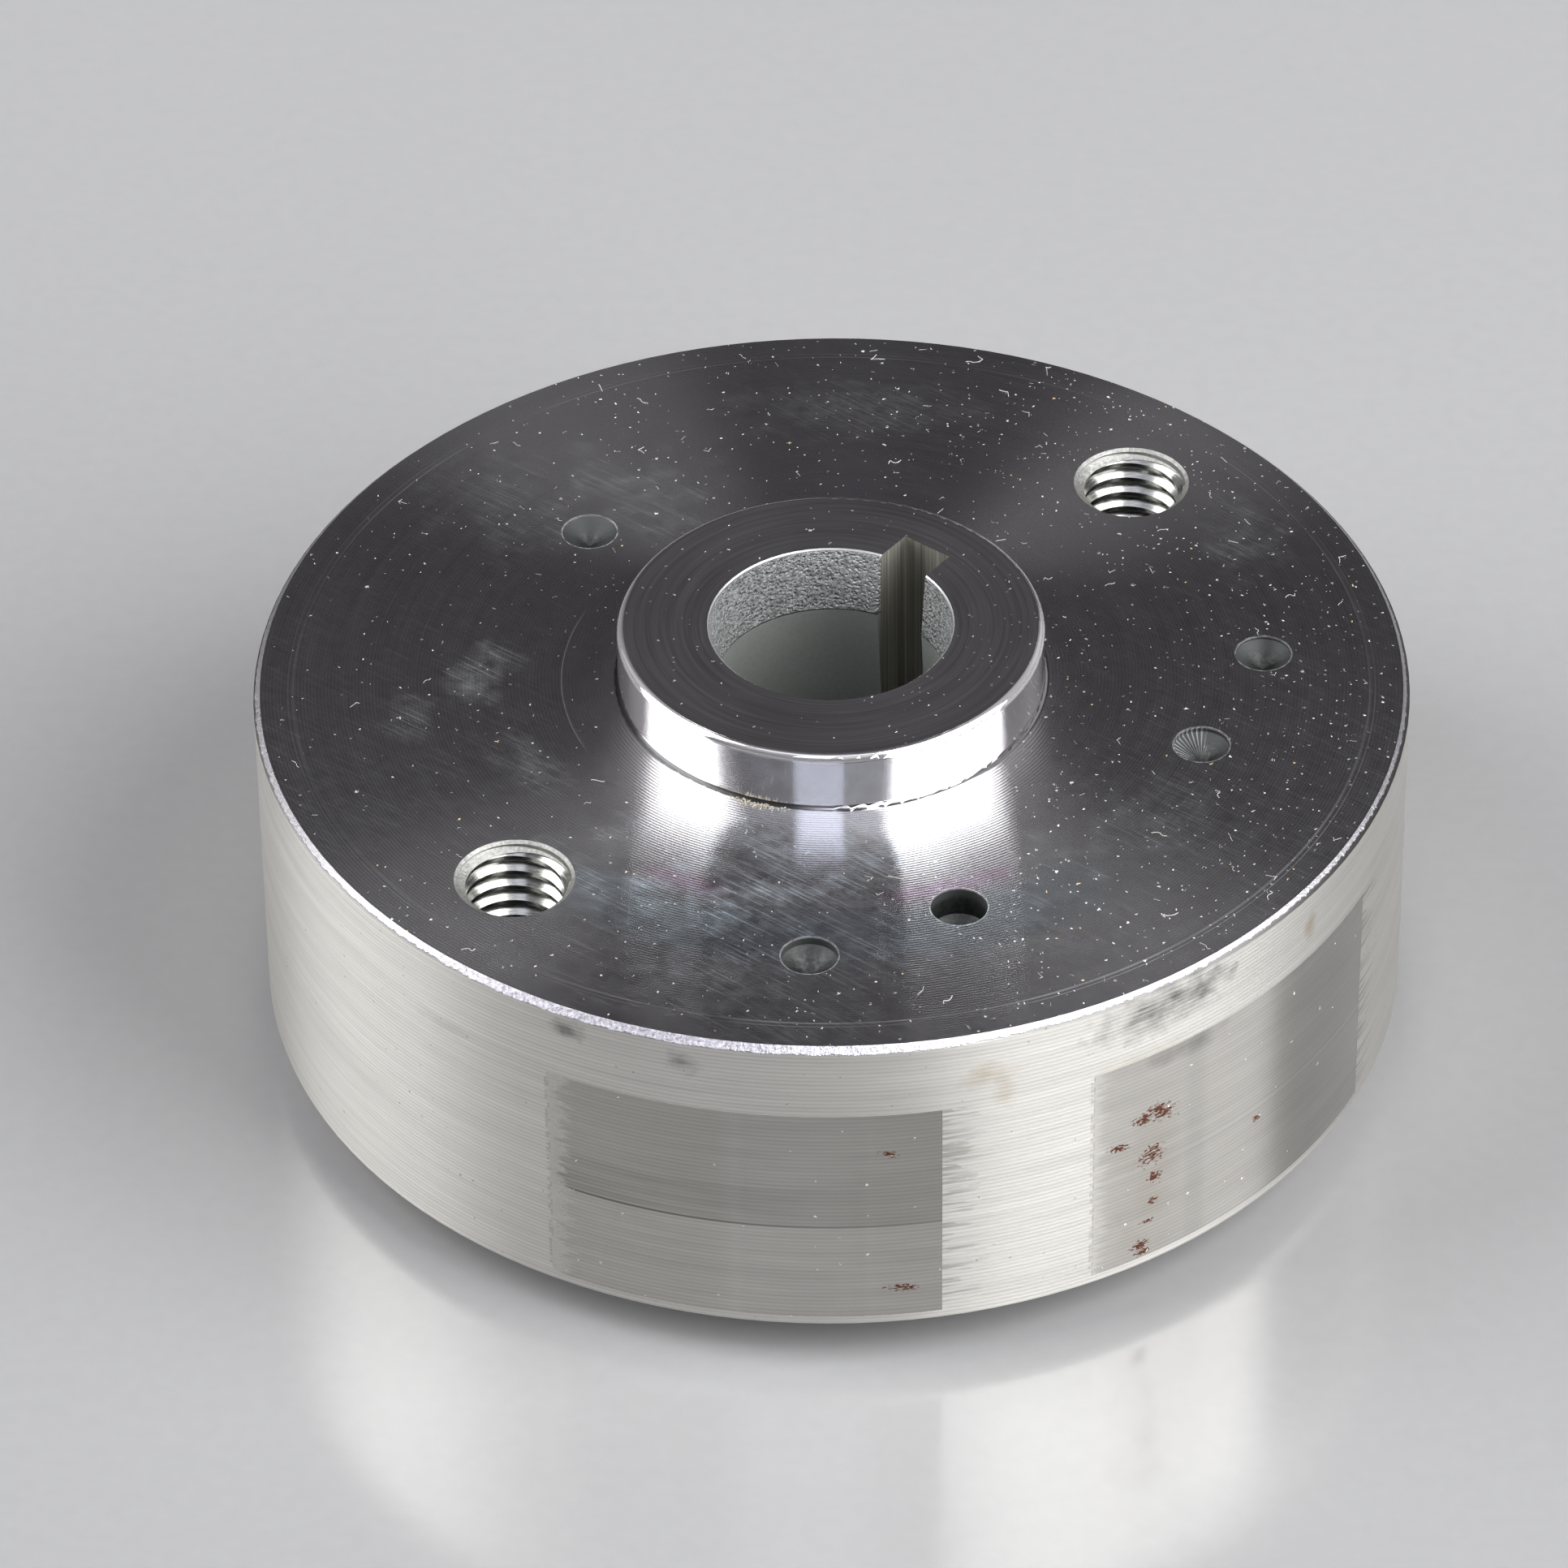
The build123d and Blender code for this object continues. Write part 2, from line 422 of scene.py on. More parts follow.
def drag_group():
    """Metal dragged over an edge by the tool: wedge-shaped strokes that thin out with distance."""
    inputs = {"Distance": 0.0, "Height": 0.0, "Reach": 1.0, "Spacing": 0.3, "Soft": 0.12}
    inputs |= {"Seed": 0.0}
    g, given, close = shader_group("Edge Drag", inputs, {"Mask": "Float"})
    rows = g.math("DIVIDE", given["Height"], given["Spacing"])
    place = g.join(g.product(given["Distance"], 0.5), rows, given["Seed"])
    stroke = g.remap(g.noise(place, 1.0, 3.0, 0.6), 0.32, 0.68)
    past = g.minus(g.product(stroke, given["Reach"]), given["Distance"])
    return close(Mask=g.rise(past, 0.0, given["Soft"]))


SHARED_EFFECTS = {
    "Polar Coordinates": polar_group,
    "Turned Lines": turned_lines_group,
    "Specks": specks_group,
    "Clouds": clouds_group,
    "Patch": patch_group,
    "Edge Drag": drag_group,
}


def new_material(name, anisotropic=0.0):
    """A node material with its Principled shader, and the graph to build the rest with."""
    material = bpy.data.materials.new(name)
    material.use_nodes = True
    material.node_tree.nodes.clear()
    g = Graph(material.node_tree)
    shader = g.node("ShaderNodeBsdfPrincipled")
    g.node("ShaderNodeOutputMaterial", {"Surface": shader.outputs[0]})
    shader.inputs["Anisotropic"].default_value = anisotropic
    return material, g, shader


def along_the_grooves(g, position):
    """The direction round Z, anticlockwise."""
    x, y, _ = g.split(position)
    return g.vector("NORMALIZE", g.join(g.product(y, -1.0), x))


def across_the_grooves(g, position):
    """The direction over the surface that crosses marks turned about Z."""
    normal = g.node("ShaderNodeNewGeometry").outputs["Normal"]
    along = along_the_grooves(g, position)
    return g.vector("NORMALIZE", g.vector("CROSS_PRODUCT", normal, along))


def torn_forwards(g, position, slope):
    """The normal of metal whose torn scales all face a little way round, as the tool left them."""
    normal = g.node("ShaderNodeNewGeometry").outputs["Normal"]
    lean = g.scaled(along_the_grooves(g, position), slope)
    return g.vector("NORMALIZE", g.vector("ADD", normal, lean))


def cover(node, material):
    """Gives a CAD node one material all over."""
    mesh = frame["nodes"][node].data
    if not mesh.materials:
        mesh.materials.append(material)
    for index in range(len(mesh.materials)):
        mesh.materials[index] = material


# ---- Materials ----
CHIP_WHITE = (0.78, 0.77, 0.74)
RUST = (0.085, 0.026, 0.012)
OCHRE = (0.62, 0.44, 0.20)
FRESH_CUT = (0.82, 0.82, 0.80)
RIM_TEAR_SLOPE = 0.105


def turned_lines(g, polar, across, pitch, wander=1.5):
    """The marks of a tool that was fed by pitch millimetres a turn."""
    inputs = {"Across": across, "Pitch": pitch, "Wander": wander}
    return g.group("Turned Lines", Round=polar["Round"], **inputs)


def dragged_strokes(g, distance, height, reach, spacing, soft, seed):
    """Strokes of metal that the tool dragged away from an edge."""
    inputs = {"Reach": reach, "Spacing": spacing, "Soft": soft, "Seed": seed}
    return g.group("Edge Drag", Distance=distance, Height=height, **inputs)["Mask"]


def patches(g, place, spots, grain, stretch=(1.0, 1.0, 1.0), broken=0.0):
    """One patch mask for each spot, given as (centre, half sizes, turn)."""
    noise_place = g.vector("MULTIPLY", place, stretch)
    clouds = g.group("Clouds", Place=noise_place, Grain=grain)
    masks = []
    for centre, size, turn in spots:
        made = g.group(
            "Patch",
            Place=place,
            Slow=clouds["Slow"],
            Fine=clouds["Fine"],
            Centre=(*centre, 0.0),
            Size=(*size, 1.0),
            Turn=turn,
            Broken=broken,
        )
        masks.append(made["Mask"])
    return masks


def rim_aluminium(colour):
    """The turned rim: fine horizontal grooves, specks, stains and the broken front edge, whose
    chamfer carries painted shade and a painted reflection.
    """
    material, g, shader = new_material("rim aluminium", anisotropic=0.6)
    polar = g.group("Polar Coordinates")
    height, unrolled = polar["Height"], polar["Unrolled"]
    finish = Finish(g, colour, 0.44)
    lines = turned_lines(g, polar, height, FEED)
    fine = turned_lines(g, polar, height, 0.11, 3.0)
    broad = turned_lines(g, polar, height, 0.80, 4.0)
    finish.tone(g.product(g.lerp(lines["Tone"], 0.88, 1.06), g.lerp(fine["Tone"], 0.87, 1.09)))
    finish.tone(g.product(g.lerp(broad["Tone"], 0.96, 1.03), g.lerp(lines["Feed"], 1.04, 0.88)))
    finish.raise_by(g.plus(g.product(lines["Feed"], 0.006), g.product(fine["Tone"], 0.004)))
    pits = g.group("Specks", Place=unrolled, Spacing=0.9, Size=0.13, Share=0.12)
    finish.lay(g.product(pits["Mask"], 0.6), (0.25, 0.20, 0.16), 0.7, 0.3)
    lay_rim_stains(finish, unrolled)
    lay_steel_drag(finish, unrolled)

    # The front edge, broken roughly, with painted shade and a painted lilac reflection on its
    # chamfer
    ragged = g.noise(unrolled, 2.2, 3.0, 0.7)
    front = g.band(polar["Azimuth"], -38.0, 14.0, 14.0)
    edge_low = g.remap(ragged, 0.3, 0.7, FACE - RIM_EDGE + 0.04, FACE - RIM_EDGE + 0.15)
    edge_low = g.minus(edge_low, g.product(front, 0.08))
    edge_low = g.plus(edge_low, g.remap(polar["Azimuth"], 18.0, 60.0, 0.0, 0.08))
    # Painted shade: the chamfer is darkened all round, less so at the front
    painted_light_rounding = g.without(g.rise(height, FACE - RIM_EDGE, 0.04), g.product(front, 0.6))
    finish.tint(painted_light_rounding, (0.30, 0.30, 0.31))
    edge = g.rise(g.minus(height, edge_low), 0.0, 0.05)
    mottled = g.noise(polar["Position"], 5.0, 4.0, 0.75)
    # Torn, mottled metal on the broken edge, tinted lilac and brightest at the front as a painted
    # reflection
    torn = g.shade(g.remap(mottled, 0.38, 0.62), (0.34, 0.33, 0.37), (0.84, 0.82, 0.90))
    finish.lay(edge, g.shade(g.lerp(front, 0.25, 0.95), (0.66, 0.65, 0.68), torn), 0.38, 0.93)
    # Painted shade: the broken edge is darker at azimuths below -58, on the left
    finish.tone(g.lerp(g.product(edge, g.fall(polar["Azimuth"], -58.0, 24.0)), 1.0, 0.55))
    finish.raise_by(g.product(mottled, edge, 0.06))
    position = polar["Position"]
    finish.connect(shader, position, torn_forwards(g, position, RIM_TEAR_SLOPE))
    return material


def lay_rim_stains(finish, unrolled):
    """Grey smears and yellow-brown stains that follow the grooves round the rim."""
    g = finish.graph
    # Azimuth, height, half sizes, strength
    grey = (
        (-26.5, 20.3, 1.5, 0.7, 0.62),
        (-15.0, 19.9, 1.1, 0.9, 0.38),
        (32.6, 19.9, 4.8, 1.7, 0.55),
        (38.0, 20.2, 2.2, 1.1, 0.45),
        (-42.0, 17.0, 2.5, 0.6, 0.12),
    )
    ochre = (
        (14.2, 18.9, 1.9, 0.9, 0.30),
        (16.0, 17.6, 0.9, 1.2, 0.22),
        (53.1, 19.1, 0.7, 1.0, 0.35),
        (30.0, 17.2, 3.5, 0.4, 0.18),
        (12.0, 14.0, 1.0, 0.4, 0.15),
    )
    streaks = g.remap(g.stretched(unrolled, 0.4, 9.0, 1.0, 3.0, 0.6), 0.35, 0.65, 0.45, 1.1)
    for spots, colour in ((grey, (0.20, 0.20, 0.20)), (ochre, (0.55, 0.40, 0.20))):
        ovals = [((arc(spot[0]), spot[1]), spot[2:4], 0.0) for spot in spots]
        for mask, spot in zip(patches(g, unrolled, ovals, 1.6), spots):
            finish.tint(g.product(mask, streaks, spot[4] * 1.6), colour)


def lay_steel_drag(finish, unrolled):
    """Dark strokes of steel that the tool dragged out of the pole shoes."""
    g = finish.graph
    along, high, _ = g.split(unrolled)
    in_height = g.band(high, SHOE_BOTTOM, SHOE_TOP, 0.1)
    thin = g.rise(g.stretched(unrolled, 0.25, 4.5, 1.0, 2.0), 0.52, 0.08)
    dots = g.rise(g.noise(g.join(high, 4.0), 2.6, 1.0), 0.5, 0.1)
    for node, seed in zip(SHOE_NODES, (3.0, 9.0)):
        start, end = rim_span(node)
        out = g.minus(along, arc(end))
        strokes = dragged_strokes(g, out, high, 3.4, 0.55, 0.3, seed)
        where = g.product(strokes, g.rise(out, 0.0, 0.04), in_height)
        fade = g.remap(out, 0.0, 3.2, 0.50, 0.0)
        finish.tint(g.product(where, thin, fade), (0.30, 0.30, 0.30))
        back = g.minus(arc(start), along)
        near = g.product(g.band(back, 0.0, 0.16, 0.08), in_height, dots)
        finish.tint(g.product(near, 0.35), (0.4, 0.4, 0.4))


def face_aluminium(colour):
    """The mirror-turned front face and boss: concentric marks, scribed rings, haze and dust."""
    material, g, shader = new_material("face aluminium", anisotropic=1.0)
    polar = g.group("Polar Coordinates")
    radius, height, azimuth = polar["Radius"], polar["Height"], polar["Azimuth"]
    x, y, _ = g.split(polar["Position"])
    flat = g.join(x, y)
    boss = g.fall(radius, BOSS_FOOT, 0.02)
    boss_top = g.rise(height, BOSS_TOP - 0.02, 0.01)
    face = g.rise(radius, BOSS_FOOT, 0.02)

    finish = Finish(g, colour, g.lerp(boss, 0.182, 0.10))
    across = g.minus(radius, height)
    marks = turned_lines(g, polar, across, FACE_FEED, 0.8)
    fine = turned_lines(g, polar, across, 0.09, 2.0)
    depth = g.lerp(boss_top, g.lerp(boss, 0.0058, 0.0008), 0.0050)
    cut = g.plus(marks["Feed"], g.product(fine["Tone"], 0.12))
    finish.tone(g.lerp(g.product(marks["Feed"], face), 1.04, 0.84))
    finish.raise_by(g.product(cut, depth))
    # The boss's side leans in a little towards the top
    finish.raise_by(g.remap(height, FACE + 0.25, BOSS_TOP - BOSS_EDGE, 0.17, 0.0))
    film_and_painted_highlight = g.lerp(fine["Tone"], 0.0, 0.015)
    film_and_painted_highlight = g.plus(film_and_painted_highlight, g.product(boss_top, g.lerp(marks["Tone"], 0.0, 0.035)))
    # Painted highlight: the boss's rounded top edge loses metal so that it shows light grey
    painted_light_rounding = g.product(g.band(height, BOSS_TOP - 0.42, BOSS_TOP - 0.04, 0.06), boss)
    film_and_painted_highlight = g.plus(film_and_painted_highlight, g.product(painted_light_rounding, g.lerp(fine["Tone"], 0.02, 0.30)))
    finish.metal = g.minus(1.0, film_and_painted_highlight)

    # The boss's side, darkened with painted shade, and a near-black line of painted shade round its
    # foot
    # Painted shade: the boss's side is darkened
    side = g.product(boss, g.fall(height, BOSS_TOP - BOSS_EDGE, 0.02))
    finish.tint(side, (0.86, 0.86, 0.86))
    # Painted shade: a near-black line round the boss's foot, on the left half, fading out past the
    # front
    painted_foot_shade = g.product(boss, g.band(height, FACE + 0.015, FACE + 0.21, 0.02))
    finish.lay(g.product(painted_foot_shade, g.rise(azimuth, -4.0, 16.0, 0.9, 0.0)), (0.06, 0.06, 0.06), 0.4, 1.0)

    # Bright burrs round the balance drillings
    burr = g.remap(g.noise(flat, 2.5, 2.0), 0.35, 0.65, 0.10, 0.65)
    for place in DRILLINGS:
        far = g.distance(flat, at_azimuth(*place))
        ring = g.band(far, DRILL_RADIUS - 0.05, DRILL_RADIUS + 0.06, 0.03)
        finish.lay(g.product(ring, face, burr), (0.62, 0.62, 0.60), 0.4, 0.6)

    # Two scribed rings near the rim, and part of one by the boss
    scribed = ((SCRIBED_RADIUS - 0.13, 0.10, 0.16), (SCRIBED_RADIUS + 0.14, 0.07, 0.10))
    faded = g.remap(g.noise(g.scaled(polar["Round"], 3.0), 1.0, 3.0), 0.35, 0.65, 0.15, 1.0)
    faded = g.product(faded, g.lerp(g.band(azimuth, -22.0, 66.0, 30.0), 0.25, 1.0))
    for ring, width, strength in scribed:
        line = g.product(g.band(radius, ring - width / 2, ring + width / 2, 0.05), faded)
        finish.lay(g.product(line, strength), (0.6, 0.6, 0.62), 0.4, 0.2)
    part = g.product(g.band(radius, 14.45, 14.50, 0.04), g.band(azimuth, -112.0, -66.0, 10.0))
    finish.lay(g.product(part, 0.12), (0.6, 0.6, 0.6), 0.4, 0.2)

    # Painted reflection colours: magenta under the boss's reflected bands and blue at the front,
    # standing in for the colours that the fine marks give the boss's reflection
    front = g.product(g.band(azimuth, -42.0, 38.0, 24.0), face)
    under_bands = g.strongest(g.band(azimuth, -31.0, -18.0, 6.0), g.band(azimuth, 8.0, 29.0, 6.0))
    painted_magenta_reflection = g.product(g.band(radius, 18.4, 19.5, 1.3), under_bands, face, 0.40)
    finish.tint(painted_magenta_reflection, (1.0, 0.60, 0.90))
    # Painted reflection: a blue tint at the front
    finish.tint(g.product(g.band(radius, 20.2, 24.0, 2.0), front, 0.35), (0.72, 0.92, 1.0))
    lay_haze(finish, flat, face, marks)
    lay_dust(finish, flat, g.strongest(face, g.product(boss_top, 0.5)))
    finish.connect(shader, polar["Position"])
    return material


def lay_haze(finish, flat, face, marks):
    """Fingerprints, wiped haze and fine scratches on the mirror face."""
    g = finish.graph
    # Centre, half sizes, turn, strength
    spots = (
        ((-18.9, 0.5), (2.0, 3.4), 0.5, 0.10),
        ((-22.5, -3.5), (1.6, 2.6), 0.2, 0.06),
        ((-16.0, -7.5), (2.0, 3.6), -0.6, 0.05),
        ((-14.0, -16.5), (3.5, 5.0), 0.9, 0.05),
        ((-9.0, -19.0), (4.5, 3.6), 0.4, 0.09),
        ((-4.5, -19.6), (4.0, 2.8), 0.1, 0.08),
        ((-6.0, -24.5), (5.5, 2.6), 0.0, 0.05),
        ((3.5, -23.0), (5.0, 2.4), 0.1, 0.03),
        ((9.0, -19.0), (4.0, 3.0), 0.6, 0.03),
        ((17.0, -12.5), (3.5, 5.0), 0.8, 0.025),
        ((-17.0, 16.0), (6.0, 6.0), 0.8, 0.03),
        ((-9.5, 15.5), (4.5, 6.5), -0.5, 0.045),
        ((0.0, -19.0), (19.0, 9.0), 0.0, 0.036),
        ((-1.0, -14.5), (12.0, 5.5), 0.0, 0.085),
        ((22.5, 12.0), (3.0, 4.5), 0.2, 0.04),
        ((2.0, 24.0), (9.0, 3.0), 0.0, 0.03),
    )
    haze = g.remap(g.split(flat)[1], -28.0, 12.0, 0.020, 0.004)
    for mask, spot in zip(patches(g, flat, [s[:3] for s in spots], 0.7), spots):
        haze = g.plus(haze, g.product(mask, spot[3]))
    wiped = g.turned(flat, radians(38.0))
    strokes = g.rise(g.stretched(wiped, 0.22, 8.0, 1.0, 3.0, 0.7), 0.57, 0.06)
    cloud = g.noise(flat, 0.9, 4.0, 0.65)
    texture = g.plus(g.remap(cloud, 0.35, 0.7, 0.1, 1.0), g.product(strokes, 1.1))
    texture = g.product(texture, g.lerp(marks["Tone"], 0.6, 1.3))
    amount = g.product(haze, texture, face)
    finish.metal = g.math("SUBTRACT", finish.metal, amount, clamp=True)
    finish.tint(g.math("MULTIPLY", amount, 5.0, clamp=True), (0.82, 0.93, 1.0))


def lay_dust(finish, flat, where):
    """White dust in two sizes, with a few ochre grains."""
    g = finish.graph
    clumps = g.remap(g.noise(flat, 0.12, 3.0), 0.35, 0.7, 0.25, 1.6)
    clumps = g.product(clumps, g.remap(g.split(flat)[0], -20.0, 20.0, 0.4, 1.35))
    for spacing, size, share in ((0.42, 0.11, 0.13), (1.05, 0.17, 0.09)):
        made = g.group(
            "Specks",
            Place=flat,
            Spacing=spacing,
            Size=size,
            Share=g.product(clumps, share),
        )
        grain = g.shade(g.rise(made["Chance"], 0.93, 0.01), CHIP_WHITE, OCHRE)
        mask = g.product(made["Mask"], where, g.remap(made["Chance"], 0.2, 1, 0.15, 0.9))
        finish.lay(mask, grain, 0.8, 0.0)


def bore_aluminium():
    """The cast bore mouth, the ground seat below it and the broached keyway."""
    material, g, shader = new_material("bore aluminium")
    polar = g.group("Polar Coordinates")
    position, height, radius = polar["Position"], polar["Height"], polar["Radius"]
    inside = g.fall(radius, MOUTH_RADIUS + 0.02, 0.03)
    mouth = g.product(inside, g.rise(height, MOUTH_BOTTOM, 0.08))
    first, last = KEYWAY_AZIMUTH - KEYWAY_HALF_TURN, KEYWAY_AZIMUTH + KEYWAY_HALF_TURN
    keyway = g.band(polar["Azimuth"], first, last, 0.8)
    broken = g.fall(radius, MOUTH_RADIUS + 0.14, 0.01)
    edge = g.product(g.rise(height, BOSS_TOP - 0.13, 0.02), broken)
    grain = g.noise(position, 4.2, 5.0, 0.7)
    pits = g.node("ShaderNodeTexVoronoi", {"Vector": position, "Scale": 4.4}).outputs["Distance"]
    hollow = g.rise(pits, 0.33, 0.3)
    ground = g.shade(g.remap(grain, 0.3, 0.7), (0.42, 0.44, 0.42), (0.50, 0.52, 0.50))
    finish = Finish(g, ground, 0.55, 0.75)
    cast = g.shade(g.remap(grain, 0.35, 0.65), (0.20, 0.21, 0.21), (0.62, 0.63, 0.63))
    finish.lay(mouth, cast, 0.45, 0.9)
    finish.raise_by(g.product(g.plus(grain, g.product(hollow, 0.5)), mouth, 0.21))
    smears = g.stretched(position, 0.8, 0.8, 2.2, 3.0, 0.6)
    finish.raise_by(g.product(smears, g.without(1.0, mouth), 0.010))
    broach = g.stretched(position, 6.0, 6.0, 0.05, 3.0, 0.6)
    finish.lay(keyway, (0.46, 0.45, 0.40), 0.50, 0.85)
    finish.tone(g.lerp(keyway, 1.0, g.remap(broach, 0.3, 0.7, 0.5, 1.3)))
    finish.raise_by(g.product(broach, keyway, 0.02))
    finish.lay(g.product(edge, 0.55), (0.55, 0.55, 0.55), 0.45, 0.9)
    finish.connect(shader)
    return material


def hole_aluminium():
    """Cut walls: drillings darkened with painted shade, with a bright burr, and tapped holes with
    grainy countersinks.
    """
    material, g, shader = new_material("cut hole aluminium")
    polar = g.group("Polar Coordinates")
    position, height = polar["Position"], polar["Height"]
    flat = g.vector("MULTIPLY", position, (1.0, 1.0, 0.0))
    grain = g.noise(position, 4.0, 4.0, 0.7)
    # Painted shade: the drillings' walls are far darker than the aluminium
    drilled_with_painted_shade = g.shade(g.remap(grain, 0.3, 0.7), (0.050, 0.053, 0.052), (0.125, 0.130, 0.128))
    finish = Finish(g, drilled_with_painted_shade, 0.5, 0.9)
    finish.raise_by(g.product(grain, 0.02))
    finish.lay(g.rise(height, FACE - 0.6, 0.4), (0.085, 0.090, 0.090), 0.6, 0.7)
    lip = g.rise(height, FACE - 0.09, 0.03)
    finish.lay(g.product(lip, g.remap(grain, 0.4, 0.6, 0.3, 0.9)), FRESH_CUT, 0.35, 0.8)
    for index in (CHATTERED_DRILLING, PAINTED_SHADE_DRILLING):
        away = g.vector("SUBTRACT", flat, tuple(at_azimuth(*DRILLINGS[index])))
        inside = g.fall(g.vector("LENGTH", away), DRILL_RADIUS + 0.05, 0.04)
        away_x, away_y, _ = g.split(away)
        if index == CHATTERED_DRILLING:
            round_hole = g.math("ARCTAN2", away_y, away_x)
            ridges = g.math("SINE", g.product(round_hole, 34.0))
            left = g.product(inside, g.fall(away_x, 0.2, 0.6))
            finish.raise_by(g.product(ridges, left, 0.035))
            finish.lay(g.product(g.rise(ridges, 0.3, 0.4), left, 0.5), (0.45, 0.46, 0.46))
        else:
            # Painted shade on the right side of the drilling
            finish.tint(g.product(g.band(away_x, 0.0, 0.7, 0.9), inside, 0.6), (0.30, 0.30, 0.30))
    for centre in puller_holes():
        far = g.distance(flat, (centre.x, centre.y, 0.0))
        finish.lay(g.fall(far, COUNTERSINK_RADIUS + 0.075, 0.04), (0.62, 0.62, 0.60), 0.32, 1.0)
        cone = g.band(far, THREAD_RADIUS, COUNTERSINK_RADIUS + 0.045, 0.03)
        sunk = g.product(cone, g.rise(height, FACE - 0.3, 0.05))
        lay_countersink(finish, position, sunk)
    finish.connect(shader)
    return material


def lay_countersink(finish, position, where):
    """The torn, grainy cone at the top of a tapped hole."""
    g = finish.graph
    grain = g.noise(position, 4.5, 4.0, 0.75)
    torn = g.shade(g.remap(grain, 0.35, 0.65), (0.27, 0.27, 0.26), (0.50, 0.50, 0.48))
    finish.lay(where, torn, 0.45, 0.85)
    finish.raise_by(g.product(grain, where, 0.07))


def rear_aluminium(colour):
    """The plainly turned rear face and hub."""
    material, g, shader = new_material("rear aluminium", anisotropic=0.6)
    polar = g.group("Polar Coordinates")
    across = g.minus(polar["Radius"], polar["Height"])
    lines = turned_lines(g, polar, across, 0.25)
    finish = Finish(g, colour, 0.33)
    finish.tone(g.lerp(lines["Tone"], 0.82, 1.04))
    finish.raise_by(g.product(lines["Feed"], 0.003))
    finish.connect(shader, polar["Position"])
    return material


def steel_material(colour, smear_colour):
    """Turned pole steel, flush with the aluminium round it, with a little rust."""
    material, g, shader = new_material("pole steel", anisotropic=1.0)
    shader.inputs["Specular IOR Level"].default_value = 0.15
    polar = g.group("Polar Coordinates")
    unrolled, azimuth = polar["Unrolled"], polar["Azimuth"]
    along, high, _ = g.split(unrolled)
    outer = g.rise(polar["Radius"], RIM_RADIUS - 0.2, 0.1)
    finish = Finish(g, colour, 0.12)
    lines = turned_lines(g, polar, high, FEED, 2.5)
    broad = turned_lines(g, polar, high, 0.80, 4.0)
    finish.tone(g.product(g.lerp(lines["Tone"], 0.88, 1.08), g.lerp(broad["Tone"], 0.90, 1.06)))
    finish.tone(g.lerp(lines["Feed"], 1.03, 0.86))
    left_shoe = g.fall(azimuth, BETWEEN_SHOES, 1.0)
    finish.tone(g.lerp(g.product(g.rise(high, SHOE_STEP, 0.05), left_shoe), 1.0, 0.90))
    near_step = g.product(g.band(high, SHOE_STEP - 0.04, SHOE_STEP + 2.6, 0.1), left_shoe)
    fade = g.remap(azimuth, -28.0, 8.0, 1.0, 0.35)
    dark_lines = g.product(near_step, g.rise(lines["Tone"], 0.45, 0.3), fade, 0.35)
    finish.tint(dark_lines, (0.35, 0.34, 0.33))
    step = g.band(high, SHOE_STEP - 0.03, SHOE_STEP + 0.10, 0.05)
    finish.tint(g.product(step, left_shoe, fade, 0.75), (0.30, 0.29, 0.28))
    finish.lay(g.product(step, g.rise(azimuth, BETWEEN_SHOES, 1.0), 0.25), (0.7, 0.7, 0.7))
    finish.raise_by(g.product(lines["Feed"], 0.0016))
    finish.tint(g.product(g.band(azimuth, 36.0, 38.2, 1.4), 0.13), (0.45, 0.45, 0.45))
    finish.tint(g.product(g.band(azimuth, -9.6, 2.4, 1.6), 0.10), (0.35, 0.35, 0.28))

    # Aluminium smeared over the edges that the tool met first
    edges = ((1.6, 0.30, 1.0, 0.85), (1.0, 0.26, 5.0, 0.30))
    for node, (reach, spacing, seed, strength) in zip(SHOE_NODES, edges):
        start, _ = rim_span(node)
        into = g.minus(along, arc(start))
        near = g.band(into, -0.3, 4.0, 0.2)
        smear = dragged_strokes(g, into, high, reach, spacing, 0.9, seed)
        finish.lay(g.product(smear, near, outer, strength), smear_colour, 0.40)
        dots = g.rise(g.noise(g.join(high, seed), 2.4, 1.0), 0.52, 0.08)
        true_edge = g.product(g.band(into, -0.05, 0.10, 0.05), dots, outer)
        finish.tint(g.product(true_edge, 0.35), (0.4, 0.4, 0.4))
    lay_rust(finish, unrolled, outer)
    flecks = g.group("Specks", Place=unrolled, Spacing=1.3, Size=0.13, Share=0.16)
    finish.lay(g.product(flecks["Mask"], outer, 0.8), CHIP_WHITE, 0.8, 0.0)
    finish.connect(shader, polar["Position"])
    return material


